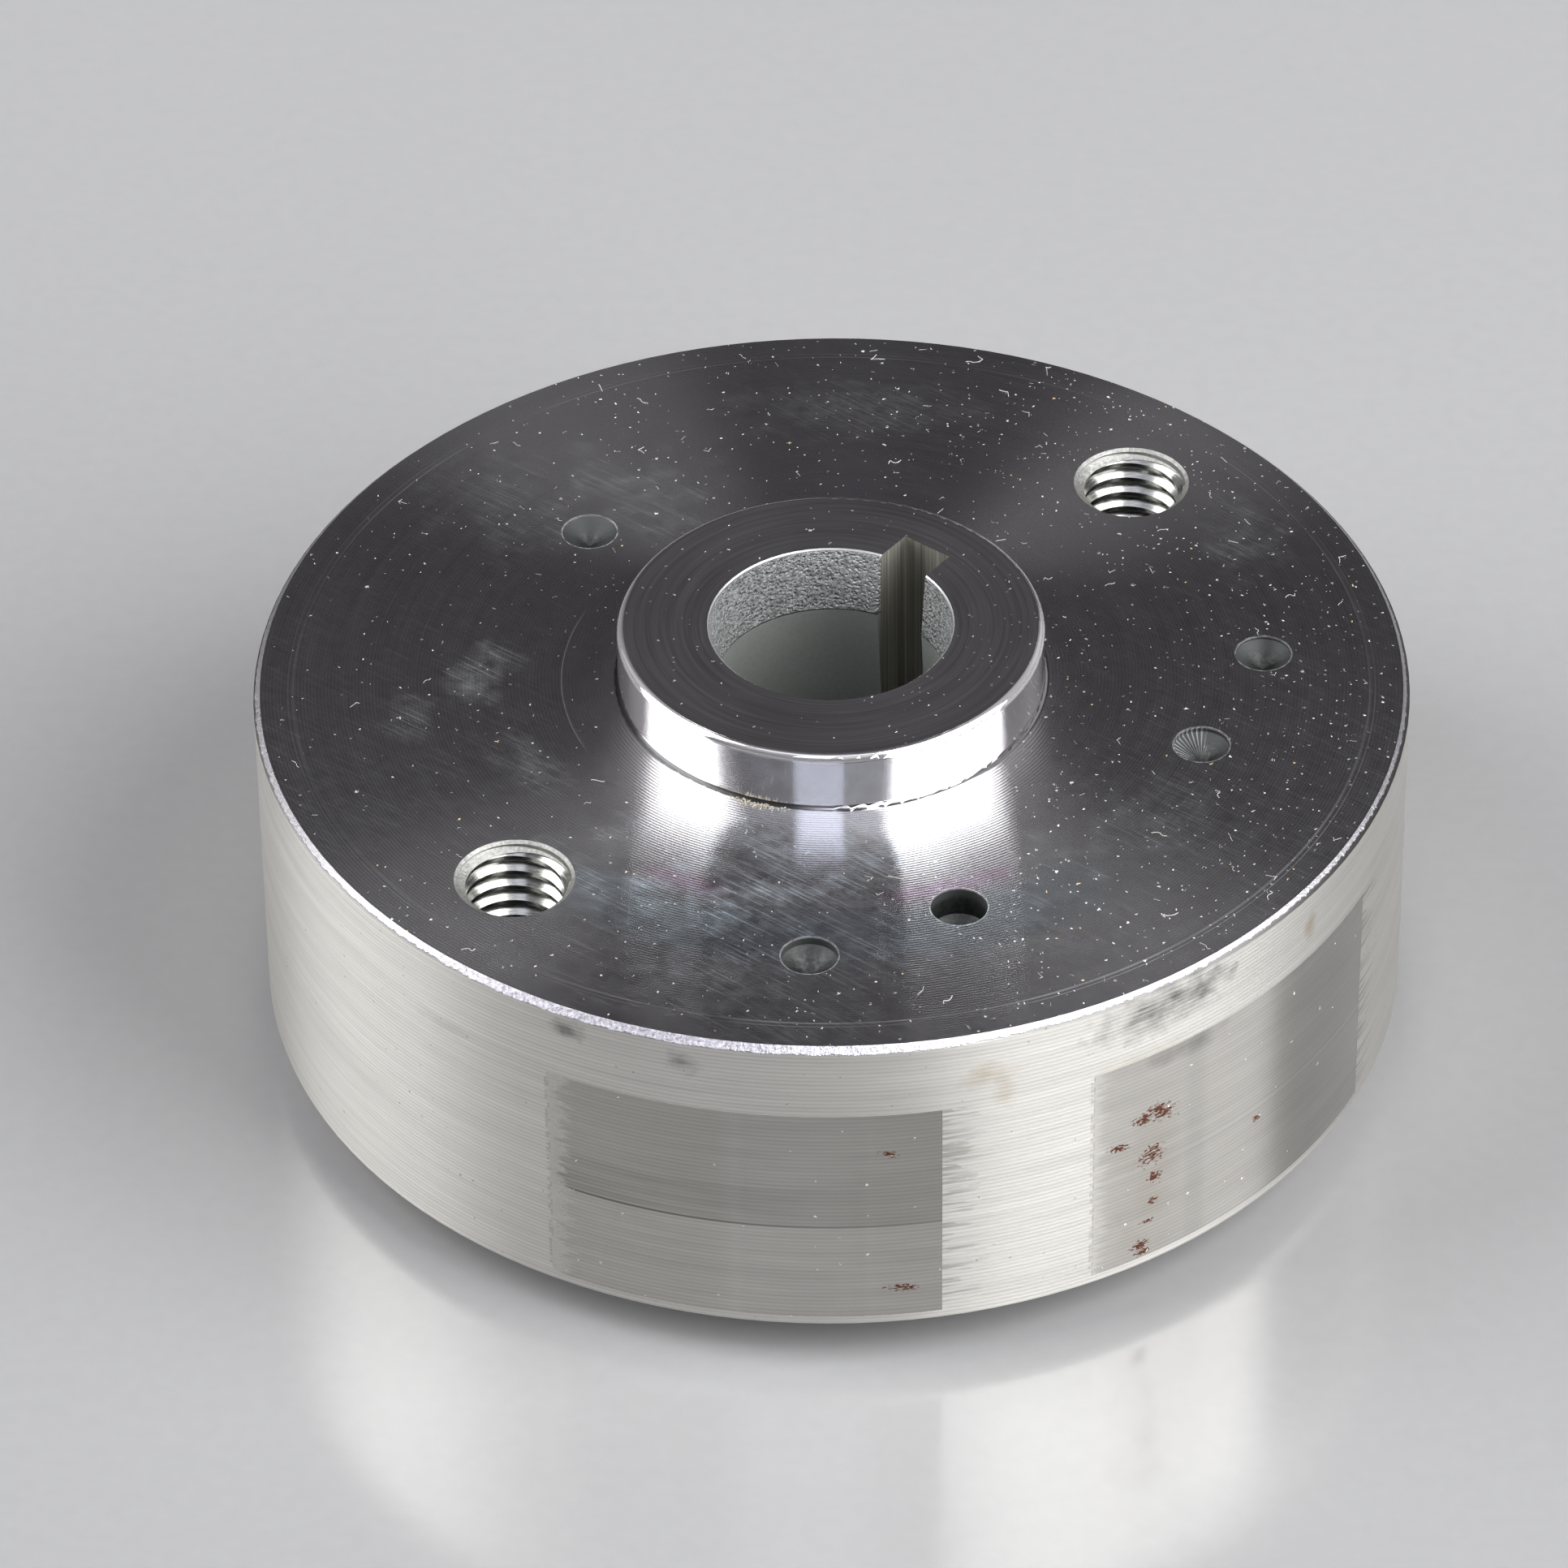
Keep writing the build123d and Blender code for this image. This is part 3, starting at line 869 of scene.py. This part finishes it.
def lay_rust(finish, unrolled, outer):
    """Rust blooms on the pole shoes, with the brown stain and the grey smear beside them."""
    g = finish.graph
    soft = (
        ((arc(36.0), 16.6), (3.0, 1.0), 0.0),
        ((arc(31.5), 9.0), (2.6, 6.5), 0.0),
    )
    smear, stain = patches(g, unrolled, soft, 1.0)
    finish.tint(g.product(smear, 0.6), (0.4, 0.4, 0.4))
    finish.tint(g.product(stain, 0.22), (0.62, 0.50, 0.36))
    # Azimuth, height, half sizes, turn
    blooms = (
        (4.7, 14.36, 0.75, 0.30, 0.2),
        (6.3, 5.01, 1.35, 0.32, 0.1),
        (32.6, 13.0, 1.7, 0.85, 0.5),
        (30.9, 12.9, 0.8, 0.7, 0.0),
        (28.2, 11.44, 0.8, 0.30, 0.2),
        (31.8, 10.2, 1.3, 0.9, 0.2),
        (32.2, 8.6, 0.7, 0.6, 0.0),
        (31.9, 6.9, 0.45, 0.4, 0.0),
        (31.5, 5.6, 0.6, 0.22, 0.0),
        (30.6, 4.1, 0.9, 0.5, 0.0),
        (31.2, 3.55, 0.7, 0.3, 0.0),
        (45.3, 8.6, 0.45, 0.35, 0.4),
    )
    ovals = [((arc(b[0]), b[1]), b[2:4], b[4]) for b in blooms]
    for mask in patches(g, unrolled, ovals, 1.1, (0.7, 1.4, 1.0), 1.0):
        finish.lay(g.product(mask, outer), RUST, 0.9, 0.0)


def magnet_material():
    """Cast magnet alloy, which shows only if the rotor is cut open."""
    material, g, shader = new_material("magnet alloy")
    position = g.group("Polar Coordinates")["Position"]
    grain = g.noise(position, 2.5, 4.0)
    g.feed(shader.inputs["Base Color"], g.shade(grain, (0.20, 0.19, 0.18), (0.34, 0.33, 0.31)))
    shader.inputs["Roughness"].default_value = 0.55
    shader.inputs["Metallic"].default_value = 1.0
    return material


def thread_material():
    """Aluminium as a tap cuts it: bright, with faint marks along the helix."""
    material, g, shader = new_material("cut thread")
    polar = g.group("Polar Coordinates")
    position = polar["Position"]
    tears = g.stretched(position, 1.5, 1.5, 14.0, 3.0, 0.6)
    finish = Finish(g, (0.43, 0.43, 0.41), g.remap(tears, 0.3, 0.7, 0.13, 0.24))
    finish.tone(g.remap(tears, 0.3, 0.7, 0.70, 1.10))
    cut = g.rise(polar["Height"], FACE - COUNTERSINK_DEPTH - 0.01, 0.05)
    finish.raise_by(g.product(tears, 0.0012))
    lay_countersink(finish, position, cut)
    finish.connect(shader)
    return material


def dust_material(name, pale, dark):
    """Dry dust, from pale to dark."""
    material, g, shader = new_material(name)
    place = g.scaled(g.node("ShaderNodeTexCoord").outputs["Object"], 1 / MM)
    g.feed(shader.inputs["Base Color"], g.shade(g.noise(place, 0.9, 2.0), dark, pale))
    shader.inputs["Roughness"].default_value = 0.75
    return material


# ---- Modelling ----
def select_only(*pieces):
    """Selects these pieces and nothing else, and makes the first one active."""
    bpy.ops.object.select_all(action="DESELECT")
    for piece in pieces:
        piece.select_set(True)
    if pieces:
        bpy.context.view_layer.objects.active = pieces[0]


def named(name):
    """Names the active object and its mesh."""
    piece = bpy.context.object
    piece.name = name
    piece.data.name = name
    return piece


def select_vertices(piece, wanted):
    """In edit mode, selects the vertices whose place passes a test."""
    bpy.ops.mesh.select_all(action="DESELECT")
    bpy.ops.object.mode_set(mode="OBJECT")
    for vertex in piece.data.vertices:
        vertex.select = wanted(vertex.co)
    bpy.ops.object.mode_set(mode="EDIT")


def apply_modifier(piece, kind, **settings):
    modifier = piece.modifiers.new(kind.title(), kind)
    for name, value in settings.items():
        setattr(modifier, name, value)
    bpy.ops.object.modifier_apply(modifier=modifier.name)


def settle(piece):
    """Puts the piece's place into its mesh."""
    select_only(piece)
    bpy.ops.object.transform_apply(location=True, rotation=True, scale=True)


def scatter(name, masters, places, material):
    """Copies of master pieces at given transforms, joined to one piece that rides the rotor."""
    copies = []
    for index, matrix in enumerate(places):
        copy = masters[index % len(masters)].copy()
        copy.data = copy.data.copy()
        copy.matrix_world = matrix
        bpy.context.collection.objects.link(copy)
        copies.append(copy)
    bpy.context.view_layer.update()
    select_only(*copies)
    bpy.ops.object.join()
    piece = named(name)
    settle(piece)
    piece.data.materials.clear()
    piece.data.materials.append(material)
    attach(piece, "root")
    return piece


def remove(pieces):
    select_only(*pieces)
    bpy.ops.object.delete()


# ---- Settings ----
def colour_setting(title, description, colour):
    return bpy.props.FloatVectorProperty(
        name=title, description=description, subtype="COLOR", default=colour, min=0.0, max=1.0
    )


def length_setting(title, description, millimetres, least):
    return bpy.props.FloatProperty(
        name=title,
        description=description,
        unit="LENGTH",
        default=millimetres * MM,
        min=least * MM,
        precision=5,
    )


def softbox_setting(side, radiance):
    return bpy.props.FloatProperty(
        name=f"{side} softbox",
        description=f"Brightness of the {side.lower()} softbox's face, where 1 shows as white",
        default=radiance,
        min=0.0,
    )


class RotorFinish(bpy.types.PropertyGroup):
    """Colours of the rotor's surfaces."""

    rim: colour_setting(
        "Rim aluminium", "Colour of the grooved aluminium rim", (0.65, 0.637, 0.603)
    )
    face: colour_setting(
        "Face aluminium", "Colour of the mirror-turned front face and boss", (0.90, 0.885, 0.905)
    )
    steel: colour_setting("Pole steel", "Colour of the two pole shoes", (0.475, 0.46, 0.432))


class ThreadSizes(bpy.types.PropertyGroup):
    """Sizes of the tapped puller holes."""

    pitch: length_setting("Thread pitch", "Distance from one thread to the next", 1.0, 0.2)
    depth: length_setting("Thread depth", "Height of the thread's ridge above its root", 0.40, 0.1)
    length: length_setting("Threaded length", "How far the thread runs below the face", 12.0, 1.0)
    mouth: length_setting(
        "Countersink radius",
        "Radius of the countersink where it meets the face",
        COUNTERSINK_RADIUS,
        THREAD_RADIUS,
    )


class DustSettings(bpy.types.PropertyGroup):
    """How much dust lies on the rotor."""

    chips: bpy.props.IntProperty(
        name="Chips", description="Small pale chips on the front face", default=460, min=0
    )
    fibres: bpy.props.IntProperty(
        name="Fibres", description="Curled fibres on the front face", default=170, min=0
    )
    seed: bpy.props.IntProperty(name="Seed", description="Changes where the dust lies", default=4)


class StudioSettings(bpy.types.PropertyGroup):
    """The table, the lamps and the camera."""

    table_colour: colour_setting(
        "Table colour", "Colour of the pale, glossy table", (0.46, 0.46, 0.465)
    )
    left_radiance: softbox_setting("Left", 4.9)
    right_radiance: softbox_setting("Right", 5.6)
    camera_place: bpy.props.FloatVectorProperty(
        name="Camera place",
        description="Where the camera stands",
        subtype="TRANSLATION",
        unit="LENGTH",
        default=(-0.002604, -0.379138, 0.319502),
    )
    camera_pitch: bpy.props.FloatProperty(
        name="Camera pitch",
        description="How far the camera is tipped up from looking straight down",
        subtype="ANGLE",
        default=radians(51.140),
    )
    camera_roll: bpy.props.FloatProperty(
        name="Camera roll",
        description="How far the camera leans to one side",
        subtype="ANGLE",
        default=radians(-0.689),
    )
    camera_lens: bpy.props.FloatProperty(
        name="Camera lens",
        description="Focal length on a sensor 36 mm wide, in millimetres",
        default=206.36,
        min=1.0,
    )


# ---- Operators ----
class ROTOR_OT_dress_casting(bpy.types.Operator):
    """Put a skin over the casting, with a finish for each way in which it was machined"""

    bl_idname = "rotor.dress_casting"
    bl_label = "Dress Casting"

    # How far above the rim's rear edge a polygon still counts as rear, in millimetres
    REAR_MARGIN = 0.3
    # How near a polygon has to be to a flat face's height to lie on it
    LEVEL_MARGIN = 0.005

    def execute(self, context):
        settings = context.scene.rotor_finish
        zones = (
            ("rim", rim_aluminium(tuple(settings.rim))),
            ("front", face_aluminium(tuple(settings.face))),
            ("bore", bore_aluminium()),
            ("hole", hole_aluminium()),
            ("rear", rear_aluminium(tuple(settings.rim))),
        )
        select_only(frame["nodes"][BODY_NODE])
        bpy.ops.object.duplicate()
        casting = named("casting")
        casting.data.materials.clear()
        for _, material in zones:
            casting.data.materials.append(material)
        names = [name for name, _ in zones]
        for polygon in casting.data.polygons:
            polygon.material_index = names.index(self.zone(polygon))
        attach(casting, "root")
        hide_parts(BODY_NODE)
        return {"FINISHED"}

    def zone(self, polygon):
        """Which machined zone a polygon belongs to, by its place and its normal."""
        place, normal = polygon.center / MM, polygon.normal
        radius = hypot(place.x, place.y)
        if radius < KEYWAY_REACH and self.LEVEL_MARGIN < place.z < BOSS_TOP - self.LEVEL_MARGIN:
            return "bore"
        if place.z < RIM_BOTTOM + self.REAR_MARGIN:
            return "rear"
        if radius > RIM_RADIUS - RIM_EDGE:
            return "rim"
        on_face = place.z > FACE - self.LEVEL_MARGIN and normal.z > 0.5
        if on_face or (place.z > FACE and radius > BOSS_RADIUS - 1.0):
            return "front"
        return "hole"


class ROTOR_OT_dress_poles(bpy.types.Operator):
    """Give the pole shoes and the magnet their finishes"""

    bl_idname = "rotor.dress_poles"
    bl_label = "Dress Pole Shoes and Magnet"

    def execute(self, context):
        settings = context.scene.rotor_finish
        steel = steel_material(tuple(settings.steel), tuple(settings.rim))
        for node in SHOE_NODES:
            cover(node, steel)
        cover(MAGNET_NODE, magnet_material())
        return {"FINISHED"}


class ROTOR_OT_cut_threads(bpy.types.Operator):
    """Add the threads in the two puller holes"""

    bl_idname = "rotor.cut_threads"
    bl_label = "Cut Puller Threads"

    STEPS_PER_TURN = 48
    ROOT_OVERLAP = 0.03 * MM
    # Parts of the pitch that the ridge takes up at its root and, of that, at its crest
    ROOT_SHARE = 0.94
    CREST_SHARE = 0.26

    def execute(self, context):
        sizes = context.scene.rotor_threads
        material = thread_material()
        for name, centre in zip(("puller_thread_right", "puller_thread_left"), puller_holes()):
            ridge = self.ridge(name, centre * MM, sizes)
            self.countersink(ridge, centre * MM, sizes)
            settle(ridge)
            ridge.data.materials.append(material)
            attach(ridge, "root")
        return {"FINISHED"}

    def ridge(self, name, centre, sizes):
        """A ridge of the thread's section, wound from the countersink down."""
        root_radius = THREAD_RADIUS * MM + self.ROOT_OVERLAP
        depth = sizes.depth + self.ROOT_OVERLAP
        turns = round(sizes.length / sizes.pitch)
        select_only()
        bpy.ops.mesh.primitive_plane_add(size=1.0)
        piece = named(name)
        piece.location = centre - Vector((0, 0, sizes.length))
        bpy.ops.object.mode_set(mode="EDIT")
        bpy.ops.mesh.delete(type="ONLY_FACE")
        bpy.ops.mesh.select_all(action="SELECT")
        middle = tuple(piece.location)
        bpy.ops.transform.rotate(value=pi / 2, orient_axis="X", center_override=middle)
        section = (depth, 1.0, self.ROOT_SHARE * sizes.pitch)
        bpy.ops.transform.resize(value=section, center_override=middle)
        bpy.ops.transform.translate(value=(root_radius - depth / 2, 0, 0))
        select_vertices(piece, lambda place: place.x < root_radius - depth / 2)
        bpy.ops.transform.resize(value=(1, 1, self.CREST_SHARE), center_override=middle)
        bpy.ops.object.mode_set(mode="OBJECT")
        apply_modifier(
            piece,
            "SCREW",
            axis="Z",
            angle=2 * pi,
            screw_offset=sizes.pitch,
            iterations=turns,
            steps=self.STEPS_PER_TURN,
            render_steps=self.STEPS_PER_TURN,
            use_merge_vertices=True,
            merge_threshold=1e-7,
        )
        bpy.ops.object.mode_set(mode="EDIT")
        bpy.ops.mesh.select_all(action="SELECT")
        bpy.ops.mesh.fill_holes(sides=4)
        bpy.ops.mesh.select_all(action="SELECT")
        bpy.ops.mesh.normals_make_consistent(inside=False)
        bpy.ops.object.mode_set(mode="OBJECT")
        return piece

    def countersink(self, ridge, centre, sizes):
        """Cuts the ridge's first turns back to the countersink's cone."""
        # How far the cutter reaches above and below the face
        above, below = 0.7 * MM, 1.1 * MM
        # The cone runs from the casting's own countersink to the thread's first full crest
        lip = sizes.mouth - THREAD_RADIUS * MM
        slope = sizes.depth / (COUNTERSINK_DEPTH * MM - lip)
        edge = THREAD_RADIUS * MM + lip * slope
        select_only()
        bpy.ops.mesh.primitive_cone_add(
            vertices=96,
            radius1=edge - below * slope,
            radius2=edge + above * slope,
            depth=above + below,
            location=centre + Vector((0, 0, (above - below) / 2)),
        )
        cutter = bpy.context.object
        select_only(ridge)
        apply_modifier(ridge, "BOOLEAN", operation="DIFFERENCE", object=cutter, solver="EXACT")
        bpy.ops.object.shade_smooth_by_angle(angle=radians(35))
        remove([cutter])


class ROTOR_OT_add_dust(bpy.types.Operator):
    """Scatter chips and curled fibres over the front face"""

    bl_idname = "rotor.add_dust"
    bl_label = "Add Dust"

    # How far dust keeps from the centres of holes and from the edges, in millimetres
    DRILLING_CLEARANCE = 1.7
    PULLER_CLEARANCE = 3.4
    EDGE_CLEARANCE = 0.8
    # Radii beyond which it lies on the face and on the boss
    FACE_FROM = 12.2
    BOSS_FROM = 9.1
    CRUMBS = 110
    CRUMB_AZIMUTH = -21.0

    def execute(self, context):
        settings = context.scene.rotor_dust
        chance = random.Random(settings.seed)
        pale = dust_material("pale dust", (0.80, 0.79, 0.75), (0.55, 0.53, 0.48))
        chips = self.chips()
        places = [self.place(chance, 0.025, 0.085) for _ in range(settings.chips)]
        scatter("dust_chips", chips, places, pale)
        remove(chips)
        fibres = self.fibres(chance)
        places = [self.place(chance, 0.18, 0.85) for _ in range(settings.fibres)]
        scatter("dust_fibres", fibres, places, pale)
        remove(fibres)
        self.crumbs(chance)
        return {"FINISHED"}

    def place(self, chance, smallest, largest):
        """A random place on the front face or the boss, with a random size and turn."""
        holes = [(at_azimuth(*drilling), self.DRILLING_CLEARANCE) for drilling in DRILLINGS]
        holes += [(hole, self.PULLER_CLEARANCE) for hole in puller_holes()]
        while True:
            x, y = (chance.uniform(-RIM_RADIUS, RIM_RADIUS) for _ in range(2))
            far = hypot(x, y)
            clear = all(hypot(x - hole.x, y - hole.y) > reach for hole, reach in holes)
            on_face = self.FACE_FROM < far < RIM_RADIUS - self.EDGE_CLEARANCE
            on_boss = self.BOSS_FROM < far < BOSS_RADIUS - self.EDGE_CLEARANCE
            # Less of it lies on the boss, and less at the front left
            on_boss = on_boss and chance.random() < 0.3
            kept = chance.random() < 0.55 + 0.45 * (x + y) / RIM_RADIUS / 1.4
            if clear and (on_face or on_boss) and kept:
                break
        height = FACE if on_face else BOSS_TOP
        size = smallest * (largest / smallest) ** (chance.random() ** 1.6)
        stretch = chance.uniform(0.3, 1.0)
        spin = Matrix.Rotation(chance.uniform(0, 2 * pi), 4, "Z")
        scale = Matrix.Diagonal((size * MM, size * stretch * MM, size * 0.6 * MM, 1.0))
        return Matrix.Translation(Vector((x, y, height)) * MM) @ spin @ scale

    def chips(self):
        """Three angular chips about one unit across, sitting on the origin."""
        made = []
        for index, squash in enumerate((0.45, 0.7, 0.55)):
            select_only()
            bpy.ops.mesh.primitive_ico_sphere_add(subdivisions=1, radius=1.0)
            chip = named(f"chip {index}")
            bpy.ops.object.mode_set(mode="EDIT")
            bpy.ops.mesh.select_all(action="SELECT")
            bpy.ops.transform.vertex_random(offset=0.45, seed=index + 3)
            bpy.ops.transform.resize(value=(1.2, squash, squash))
            bpy.ops.object.mode_set(mode="OBJECT")
            made.append(chip)
        return made

    def fibres(self, chance):
        """Curled fibres about one unit long, made from bent curves."""
        made = []
        for index in range(7):
            select_only()
            bpy.ops.curve.primitive_bezier_curve_add(radius=1.0)
            curve = bpy.context.object
            curve.data.dimensions = "3D"
            first, last = curve.data.splines[0].bezier_points
            first.co, last.co = (-0.5, 0.0, 0.03), (0.5, 0.0, 0.03)
            bend = chance.uniform(-1.5, 1.5)
            curl = chance.uniform(-1.5, 1.5)
            first.handle_right = (chance.uniform(-0.6, 0.8), bend, 0.12)
            first.handle_left = (-0.8, -0.2, 0.03)
            last.handle_left = (chance.uniform(-0.8, 0.6), curl, 0.02)
            last.handle_right = (0.8, 0.2, 0.03)
            curve.data.bevel_depth = 0.022
            curve.data.bevel_resolution = 0
            curve.data.resolution_u = 10
            curve.data.use_fill_caps = True
            bpy.ops.object.convert(target="MESH")
            made.append(named(f"fibre {index}"))
        return made

    def crumbs(self, chance):
        """Crumbs of swarf caught along the boss's foot."""
        sand = dust_material("swarf crumbs", (0.62, 0.58, 0.47), (0.30, 0.27, 0.20))
        chips = self.chips()
        places = []
        for _ in range(self.CRUMBS):
            azimuth = chance.gauss(self.CRUMB_AZIMUTH, 4.5)
            radius = BOSS_FOOT + abs(chance.gauss(0.0, 0.16)) - 0.1
            size = chance.uniform(0.03, 0.075) * MM
            spot = at_azimuth(radius, azimuth, FACE + chance.uniform(0.0, 0.10)) * MM
            turn = Matrix.Rotation(chance.uniform(0, 6), 4, "Z")
            places.append(Matrix.Translation(spot) @ turn @ Matrix.Scale(size, 4))
        scatter("foot_crumbs", chips, places, sand)
        remove(chips)


class ROTOR_OT_build_stage(bpy.types.Operator):
    """Set up the table, the softboxes, the dim room and the camera"""

    bl_idname = "rotor.build_stage"
    bl_label = "Build Stage"

    LAMP_DISTANCE = 0.62

    def execute(self, context):
        studio = context.scene.rotor_studio
        self.add_table(studio)
        left, right = studio.left_radiance, studio.right_radiance
        white, lilac = (1.0, 1.0, 1.0), (0.86, 0.88, 1.0)
        low, high = (5.0, 62.0), (35.0, 64.0)
        # Azimuths and elevations that the lamp fills, radiance, colour
        lamps = (
            ("left softbox far", (-108.0, -86.0), low, left * 1.2, white),
            ("left softbox near", (-86.0, -64.0), low, left * 0.93, white),
            ("right softbox near", (33.0, 54.0), low, right * 1.2, white),
            ("right softbox", (54.0, 76.0), low, right, white),
            ("right softbox far", (76.0, 96.0), low, right * 1.14, white),
            ("left wall", (-64.0, -21.0), high, 0.16, white),
            ("window", (-21.0, 5.5), high, 1.6, lilac),
            ("right wall", (5.5, 33.0), high, 0.45, white),
            ("ceiling", (-64.0, 33.0), (64.0, 78.0), 1.2, lilac),
            ("left side wall", (-132.0, -108.0), low, 0.30, white),
            ("left back wall", (-158.0, -132.0), low, 0.10, white),
            ("right side wall", (96.0, 122.0), low, 0.17, white),
            ("right back wall", (122.0, 148.0), low, 0.26, white),
        )
        for lamp in lamps:
            self.add_lamp(*lamp)
        self.set_room(context.scene)
        self.add_camera(context.scene, studio)
        context.scene.view_settings.view_transform = "Standard"
        return {"FINISHED"}

    def add_table(self, studio):
        select_only()
        bpy.ops.mesh.primitive_plane_add(size=6.0, location=(0, 0, 0))
        table = named("table")
        material, g, shader = new_material("table top")
        place = g.node("ShaderNodeTexCoord").outputs["Object"]
        grain = g.noise(place, 900.0, 3.0)
        # Painted shade: the table's colour darkens towards the front
        painted_shade_towards_front = g.remap(g.split(place)[1], -0.05, 0.10, 0.87, 0.97)
        tone = g.product(g.remap(grain, 0.3, 0.7, 0.985, 1.015), painted_shade_towards_front)
        colour = g.shade(1.0, tuple(studio.table_colour), g.grey(tone), "MULTIPLY")
        g.feed(shader.inputs["Base Color"], colour)
        shader.inputs["Roughness"].default_value = 0.15
        shader.inputs["IOR"].default_value = 1.80
        table.data.materials.append(material)

    def add_lamp(self, name, azimuths, elevations, radiance, colour):
        """An upright rectangular lamp that fills a range of azimuths and elevations."""
        middle = radians(sum(azimuths) / 2)
        low, high = (self.LAMP_DISTANCE * tan(radians(angle)) for angle in elevations)
        width = 2 * self.LAMP_DISTANCE * tan(radians(azimuths[1] - azimuths[0]) / 2)
        away = Vector((sin(middle), -cos(middle), 0.0))
        place = away * self.LAMP_DISTANCE + Vector((0, 0, BOSS_TOP * MM + (low + high) / 2))
        bpy.ops.object.light_add(type="AREA", location=place)
        lamp = bpy.context.object
        lamp.name = name
        lamp.rotation_euler = away.to_track_quat("Z", "Y").to_euler()
        lamp.data.shape = "RECTANGLE"
        lamp.data.size, lamp.data.size_y = width, high - low
        lamp.data.energy = radiance * pi * width * (high - low)
        lamp.data.color = colour

    def set_room(self, scene):
        """A dim room for reflections, and a pale one behind the table for the camera."""
        world = bpy.data.worlds.new("dim room")
        world.use_nodes = True
        world.node_tree.nodes.clear()
        g = Graph(world.node_tree)
        seen = g.node("ShaderNodeLightPath").outputs["Is Camera Ray"]
        colour = g.shade(seen, (0.030, 0.028, 0.031), (0.50, 0.50, 0.51))
        background = g.node("ShaderNodeBackground", {"Color": colour, "Strength": 1.0})
        g.node("ShaderNodeOutputWorld", {"Surface": background.outputs[0]})
        scene.world = world

    def add_camera(self, scene, studio):
        bpy.ops.object.camera_add(location=tuple(studio.camera_place))
        camera = bpy.context.object
        camera.rotation_mode = "ZYX"
        camera.rotation_euler = (studio.camera_pitch, 0.0, studio.camera_roll)
        camera.data.sensor_width = 36.0
        camera.data.lens = studio.camera_lens
        camera.data.clip_start, camera.data.clip_end = 0.01, 20.0
        scene.camera = camera


class ROTOR_PT_panel(bpy.types.Panel):
    """Shows the rotor's settings and operators in the sidebar"""

    bl_label = "Magneto Rotor"
    bl_space_type = "VIEW_3D"
    bl_region_type = "UI"
    bl_category = "Rotor"

    def draw(self, context):
        for name, kind in SETTINGS.items():
            box = self.layout.box()
            settings = getattr(context.scene, name)
            for field in kind.__annotations__:
                box.prop(settings, field)
        for operator in OPERATORS:
            self.layout.operator(operator.bl_idname)


SETTINGS = {
    "rotor_finish": RotorFinish,
    "rotor_threads": ThreadSizes,
    "rotor_dust": DustSettings,
    "rotor_studio": StudioSettings,
}
OPERATORS = (
    ROTOR_OT_dress_casting,
    ROTOR_OT_dress_poles,
    ROTOR_OT_cut_threads,
    ROTOR_OT_add_dust,
    ROTOR_OT_build_stage,
)
CLASSES = (*SETTINGS.values(), *OPERATORS, ROTOR_PT_panel)


def register():
    for cls in CLASSES:
        bpy.utils.register_class(cls)
    for name, kind in SETTINGS.items():
        setattr(bpy.types.Scene, name, bpy.props.PointerProperty(type=kind))


def unregister():
    for name in SETTINGS:
        delattr(bpy.types.Scene, name)
    for cls in reversed(CLASSES):
        bpy.utils.unregister_class(cls)


def main():
    register()
    bpy.ops.rotor.dress_casting()
    bpy.ops.rotor.dress_poles()
    bpy.ops.rotor.cut_threads()
    bpy.ops.rotor.add_dust()
    bpy.ops.rotor.build_stage()


if __name__ == "__main__":
    main()
